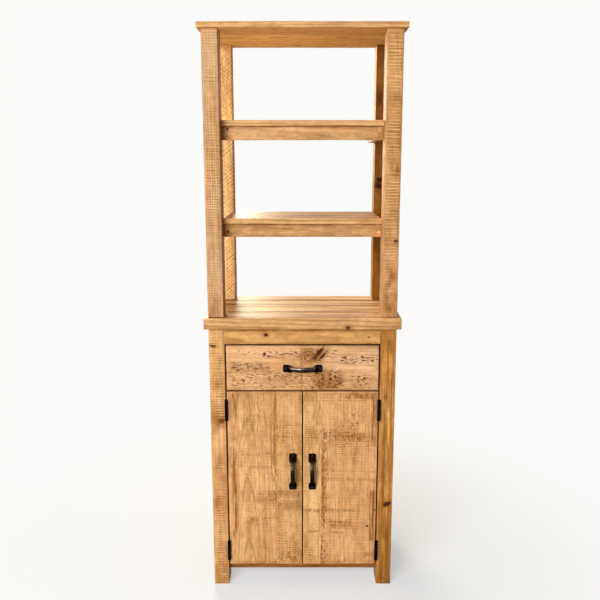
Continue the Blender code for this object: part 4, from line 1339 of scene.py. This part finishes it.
class CABINET_OT_carcass(bpy.types.Operator):
    """Finishes the panels, floor, inner rails and runners"""

    bl_idname = "cabinet.carcass"
    bl_label = "Carcass"

    def execute(self, context):
        upright = timber_material("panel_timber", Look(seed=41.0, streaks=0.4, relief=False))
        for node in ("side_panel_left", "side_panel_right", "back_panel"):
            dress(node, upright)
        level = timber_material("inner_rail_timber", Look(grain="X", seed=43.0, streaks=0.4, relief=False))
        for node in ("middle_rail", "floor_board"):
            dress(node, level)
        # Painted shade: the bottom rail is painted dark for the shade it lies in under the doors.
        shaded = Look(grain="X", seed=44.0, tint=(0.44, 0.33, 0.19), streaks=0.6, relief=False)
        dress("bottom_rail", timber_material("bottom_rail_shade_timber", shaded))
        deep = timber_material("runner_timber", Look(grain="Y", seed=45.0, streaks=0.3, relief=False))
        for node in ("drawer_runner_left", "drawer_runner_right"):
            dress(node, deep)
        return {"FINISHED"}


class CABINET_OT_ironwork(bpy.types.Operator):
    """Blackens the handles and hinges and finishes the catch"""

    bl_idname = "cabinet.ironwork"
    bl_label = "Ironwork"

    def execute(self, context):
        black = iron_material("black_iron")
        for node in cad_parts:
            if node.endswith(("_leaf", "_pin")):
                dress(node, black)
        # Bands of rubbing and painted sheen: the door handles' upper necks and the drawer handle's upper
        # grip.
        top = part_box("left_door_handle")[1].z
        upper_grip_rub_and_sheen = (top - 0.046, top - 0.031, 0.008)
        door_iron = iron_material("door_handle_iron", upper_grip_rub_and_sheen)
        for side in ("left", "right"):
            dress(f"{side}_door_handle", door_iron)
        low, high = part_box("drawer_handle")
        grip_top_rub_and_sheen = ((low.z + high.z) / 2 + 0.002, high.z, 0.003)
        dress("drawer_handle", iron_material("drawer_handle_iron", grip_top_rub_and_sheen))
        dress("door_catch", plain_material("catch_plastic", iron().plastic, 0.5, 0.0, 0.2))
        return {"FINISHED"}


# Turn from one screw's cross to the next
SCREW_TURN = 0.6
# How far the screw heads stand out
HANDLE_HEAD = 0.0011
HINGE_HEAD = 0.00018
RAIL_HEAD = 0.0006
# Screws in a handle: distance from its ends, and thickness of the palm under them
FROM_HANDLE_END = 0.0065
HANDLE_PALM = 0.0047
# Screws in a hinge leaf: steps up from its middle, and in from the front
HINGE_SCREWS = ((-0.024, 0.0115), (0.0, 0.0060), (0.024, 0.0115))
# How far behind the front a leaf is only plate, past its knuckles
BEHIND_KNUCKLES = 0.004
# Screws and plugs in the shelf rails, across and up
RAIL_SCREWS = ((-0.2309, 1.5170), (-0.2358, 1.2024))
RAIL_PLUGS = ((0.2387, 1.5149), (0.2420, 1.2008))
PLUG_DEPTH = 0.0040
PLUG_BEVEL = 0.0011


def screw_head(name, radius, height):
    """A domed screw head with a cross cut into it, on a short shank, that faces the front."""
    deselect()
    bpy.ops.mesh.primitive_cylinder_add(
        vertices=24, radius=radius, depth=2 * height, rotation=(math.pi / 2, 0.0, 0.0)
    )
    head = bpy.context.object
    head.name = head.data.name = name
    settle(head)
    edit()
    shape = bmesh.from_edit_mesh(head.data)
    for edge in shape.edges:
        edge.select_set(all(vert.co.y < 0 for vert in edge.verts))
    shape.select_flush_mode()
    bmesh.update_edit_mesh(head.data)
    bpy.ops.mesh.bevel(offset=height * 0.8, segments=3, profile=0.5, affect="EDGES")
    bpy.ops.object.mode_set(mode="OBJECT")
    slot_width, slot_length, slot_depth = 0.35 * radius, 1.35 * radius, 0.9 * height
    for long_axis in (AXIS["X"], AXIS["Z"]):
        size = Vector((slot_width, slot_depth, slot_width))
        size[long_axis] = slot_length
        middle = Vector((0.0, -height, 0.0))
        cutter = begin_box("recess", middle - size / 2, middle + size / 2)
        bpy.context.view_layer.objects.active = head
        recess = head.modifiers.new("recess", "BOOLEAN")
        recess.operation = "DIFFERENCE"
        recess.object = cutter
        bpy.ops.object.modifier_apply(modifier=recess.name)
        bpy.data.objects.remove(cutter, do_unlink=True)
    return head


def drive(head, places, name, turn=0.0):
    """Copies a screw head to its places and joins the copies to one piece."""
    copies = []
    for number, place in enumerate(places):
        deselect()
        head.select_set(True)
        bpy.context.view_layer.objects.active = head
        bpy.ops.object.duplicate(linked=False)
        copy = bpy.context.object
        copy.rotation_euler = (0.0, SCREW_TURN * number, turn)
        copy.location = place
        settle(copy)
        copies.append(copy)
    piece = join(copies, name)
    bpy.ops.object.shade_smooth_by_angle(angle=SMOOTH_FITTINGS)
    return piece


class CABINET_OT_screws(bpy.types.Operator):
    """Drives the screws of handles, hinges and shelf rails, and sets the rails' plugs"""

    bl_idname = "cabinet.screws"
    bl_label = "Screws and plugs"

    def execute(self, context):
        black = bpy.data.materials["black_iron"]
        self.handle_screws(black)
        self.hinge_screws(black)
        rail_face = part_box("shelf_rail_upper")[0].y
        self.rail_screws(black, rail_face)
        self.rail_plugs(rail_face)
        return {"FINISHED"}

    def handle_screws(self, black):
        head = screw_head("handle_screw", iron().handle_screw, HANDLE_HEAD)
        head.data.materials.append(black)
        for body in ("left_door", "right_door", "drawer"):
            low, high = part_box(body + "_handle")
            middle = (low + high) / 2
            axis = AXIS["X"] if body == "drawer" else AXIS["Z"]
            places = []
            for end in (low[axis] + FROM_HANDLE_END, high[axis] - FROM_HANDLE_END):
                place = Vector((middle.x, FRONT - HANDLE_PALM, middle.z))
                place[axis] = end
                places.append(place)
            screws = drive(head, places, body + "_handle_screws")
            fit(screws, body, "black_iron")
        bpy.data.objects.remove(head, do_unlink=True)

    def hinge_screws(self, black):
        head = screw_head("hinge_screw", iron().hinge_screw, HINGE_HEAD)
        head.data.materials.append(black)
        for side, inward in (("left", 1), ("right", -1)):
            for leaf, body, facing in (
                ("leg_leaf", "cabinet", inward),
                ("door_leaf", side + "_door", -inward),
            ):
                places = []
                for level in ("top", "bottom"):
                    low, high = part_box(f"{side}_hinge_{level}_{leaf}")
                    plate_low, plate_high = self.plate(side, level, leaf)
                    face = plate_high if facing > 0 else plate_low
                    middle = (low.z + high.z) / 2
                    for step, depth in HINGE_SCREWS:
                        places.append(Vector((face, FRONT + depth, middle + step)))
                turn = math.pi / 2 * facing
                screws = drive(head, places, f"{side}_{leaf}_screws", turn)
                fit(screws, body, "black_iron")
        bpy.data.objects.remove(head, do_unlink=True)

    def plate(self, side, level, leaf):
        """Left and right face of the leaf's plate, behind the knuckles."""
        points = points_of(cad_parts[f"{side}_hinge_{level}_{leaf}"].data)
        plate = points[points[:, AXIS["Y"]] > FRONT + BEHIND_KNUCKLES]
        return plate[:, AXIS["X"]].min(), plate[:, AXIS["X"]].max()

    def rail_screws(self, black, face):
        head = screw_head("rail_screw", iron().rail_screw, RAIL_HEAD)
        head.data.materials.append(black)
        places = [Vector((across, face, level)) for across, level in RAIL_SCREWS]
        fit(drive(head, places, "shelf_rail_screws"), "cabinet", "black_iron")
        bpy.data.objects.remove(head, do_unlink=True)

    def rail_plugs(self, face):
        plugs = []
        for across, level in RAIL_PLUGS:
            deselect()
            bpy.ops.mesh.primitive_cylinder_add(
                vertices=28,
                radius=iron().plug,
                depth=PLUG_DEPTH,
                location=(across, face, level),
                rotation=(math.pi / 2, 0.0, 0.0),
            )
            plug = bpy.context.object
            settle(plug)
            edit()
            bpy.ops.mesh.select_all(action="SELECT")
            bpy.ops.mesh.bevel(offset=PLUG_BEVEL, segments=3, profile=0.5, affect="EDGES")
            bpy.ops.object.mode_set(mode="OBJECT")
            plugs.append(plug)
        piece = join(plugs, "shelf_rail_plugs")
        bpy.ops.object.shade_smooth_by_angle(angle=SMOOTH_FITTINGS)
        look = Look(grain="Y", seed=47.0, tone=0.35, ring_depth=0.3, relief=False)
        piece.data.materials.append(timber_material("plug_timber", look))
        fit(piece, "cabinet", "frame_timber")


# Radius of the floor, and of the middle of it that the cabinet stands on
FLOOR_RADIUS = 40.0
STANDING_RADIUS = 3.0
# The floor's colour as it throws light back and as it is seen in shade, and the light from all round
BOUNCE = (0.68, 0.55, 0.40, 1.0)
SHADE = (0.86, 0.92, 1.0, 1.0)
ROUND_LIGHT = (1.0, 0.78, 0.56, 1.0)


def seen_directly(recipe):
    """One for rays that show the backdrop itself, nothing for those that only carry light."""
    path = recipe.node("ShaderNodeLightPath", {})
    seen = recipe.math("MAXIMUM", path.outputs["Is Camera Ray"], path.outputs["Is Glossy Ray"])
    return recipe.math("MAXIMUM", seen, path.outputs["Is Transmission Ray"])


class CABINET_OT_stage(bpy.types.Operator):
    """Sets the floor, the lamps, the camera and the view"""

    bl_idname = "cabinet.stage"
    bl_label = "Stage"

    def execute(self, context):
        settings = context.scene.cabinet_stage
        self.floor(settings)
        self.world(context.scene, settings)
        self.lamps(settings)
        self.camera(context.scene, settings)
        context.scene.view_settings.view_transform = "Standard"
        return {"FINISHED"}

    def floor(self, settings):
        """A wide round floor that meets the white all round at its far rim."""
        deselect()
        bpy.ops.mesh.primitive_circle_add(vertices=96, radius=FLOOR_RADIUS, fill_type="NGON")
        floor = bpy.context.object
        floor.name = floor.data.name = "paper_floor"
        edit()
        bpy.ops.mesh.select_all(action="SELECT")
        bpy.ops.mesh.inset(thickness=FLOOR_RADIUS - STANDING_RADIUS)
        bpy.ops.object.mode_set(mode="OBJECT")
        floor.data.materials.append(self.paper_material(settings))

    def paper_material(self, settings):
        """Paper that takes the cabinet's shadow near it, and fades into white further off."""
        recipe = Recipe(bpy.data.materials.new("paper"))
        seen = seen_directly(recipe)
        place = recipe.node("ShaderNodeTexCoord", {}).outputs["Object"]
        away = recipe.node("ShaderNodeVectorMath", {0: place}, operation="LENGTH").outputs["Value"]
        shade = recipe.node("ShaderNodeBsdfDiffuse", {"Color": recipe.mix(seen, BOUNCE, SHADE)})
        glow = recipe.node("ShaderNodeEmission", {"Color": (*settings.paper, 1.0), "Strength": 1.0})
        glowing = recipe.times(seen, recipe.between(away, 0.3, 1.5, settings.glow, 1.0))
        mixed = recipe.node("ShaderNodeMixShader", {0: glowing, 1: shade.outputs[0], 2: glow.outputs[0]})
        recipe.feed(recipe.tree.nodes["Material Output"].inputs["Surface"], mixed.outputs[0])
        recipe.tree.nodes.remove(recipe.shader)
        return recipe.owner

    def world(self, scene, settings):
        """Warm light from all round, with the paper's white behind everything that is seen."""
        recipe = Recipe(bpy.data.worlds.new("studio"))
        light = recipe.tree.nodes["Background"]
        recipe.feed(light.inputs["Color"], ROUND_LIGHT)
        recipe.feed(light.inputs["Strength"], settings.fill)
        paper = recipe.node("ShaderNodeBackground", {"Color": (*settings.paper, 1.0), "Strength": 1.0})
        mixed = recipe.node(
            "ShaderNodeMixShader", {0: seen_directly(recipe), 1: light.outputs[0], 2: paper.outputs[0]}
        )
        recipe.feed(recipe.tree.nodes["World Output"].inputs["Surface"], mixed.outputs[0])
        scene.world = recipe.owner

    def lamps(self, settings):
        """The large lamp, one just over the upper shelf that faces up, one behind and one above."""
        white, cream = (1.0, 1.0, 1.0), (1.0, 0.90, 0.74)
        gold, ivory = (1.0, 0.88, 0.66), (1.0, 0.96, 0.90)
        on_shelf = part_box("shelf_upper")[1].z + 0.002
        self.lamp("key_lamp", (-1.7, FRONT - 3.4, 1.9), (0.0, 0.0, -0.6), 2.2, settings.key, white)
        self.lamp("bay_lamp", (-0.13, 0.02, on_shelf), (-0.13, 0.021, 1.80), 0.32, settings.bay, cream)
        self.lamp("rear_lamp", (-0.80, 2.4, 1.9), (-0.1, 0.0, 1.1), 1.0, settings.rear, gold)
        self.lamp("top_lamp", (0.0, 0.06, 3.1), (0.0, 0.06, 1.8), 0.6, settings.top, ivory, 45.0)

    def lamp(self, name, place, target, size, power, colour, spread=180.0):
        """A square lamp at a place that faces a target and isn't seen itself."""
        deselect()
        bpy.ops.object.light_add(type="AREA", location=place)
        lamp = bpy.context.object
        lamp.name = lamp.data.name = name
        lamp.data.size = size
        lamp.data.energy = power
        lamp.data.color = colour
        lamp.data.spread = math.radians(spread)
        lamp.visible_camera = False
        lamp.rotation_euler = (Vector(target) - Vector(place)).to_track_quat("-Z", "Y").to_euler()

    def camera(self, scene, settings):
        deselect()
        bpy.ops.object.camera_add(
            location=(0.0, FRONT - settings.distance, settings.height),
            rotation=(math.pi / 2 - settings.pitch, 0.0, 0.0),
        )
        camera = bpy.context.object
        camera.name = camera.data.name = "front_camera"
        camera.data.lens = settings.lens
        camera.data.sensor_width = 36.0
        camera.data.shift_x = settings.shift
        scene.camera = camera


class CABINET_PT_sidebar(bpy.types.Panel):
    """Lists the steps in the 3D view's sidebar"""

    bl_label = "Bathroom Cabinet"
    bl_idname = "CABINET_PT_sidebar"
    bl_space_type = "VIEW_3D"
    bl_region_type = "UI"
    bl_category = "Cabinet"

    def draw(self, context):
        for step in STEPS:
            self.layout.operator(step.bl_idname)


STEPS = (
    CABINET_OT_posts,
    CABINET_OT_legs,
    CABINET_OT_rails,
    CABINET_OT_boards,
    CABINET_OT_doors,
    CABINET_OT_drawer,
    CABINET_OT_carcass,
    CABINET_OT_ironwork,
    CABINET_OT_screws,
    CABINET_OT_stage,
)
SETTINGS = {"cabinet_timber": CabinetTimber, "cabinet_iron": CabinetIron, "cabinet_stage": CabinetStage}


def register():
    for group in SETTINGS.values():
        bpy.utils.register_class(group)
    for name, group in SETTINGS.items():
        setattr(bpy.types.Scene, name, PointerProperty(type=group))
    for step in STEPS:
        bpy.utils.register_class(step)
    bpy.utils.register_class(CABINET_PT_sidebar)


def unregister():
    bpy.utils.unregister_class(CABINET_PT_sidebar)
    for step in reversed(STEPS):
        bpy.utils.unregister_class(step)
    for name, group in SETTINGS.items():
        delattr(bpy.types.Scene, name)
        bpy.utils.unregister_class(group)


def main():
    register()
    bpy.ops.cabinet.posts()
    bpy.ops.cabinet.legs()
    bpy.ops.cabinet.rails()
    bpy.ops.cabinet.boards()
    bpy.ops.cabinet.doors()
    bpy.ops.cabinet.drawer()
    bpy.ops.cabinet.carcass()
    bpy.ops.cabinet.ironwork()
    bpy.ops.cabinet.screws()
    bpy.ops.cabinet.stage()


if __name__ == "__main__":
    main()
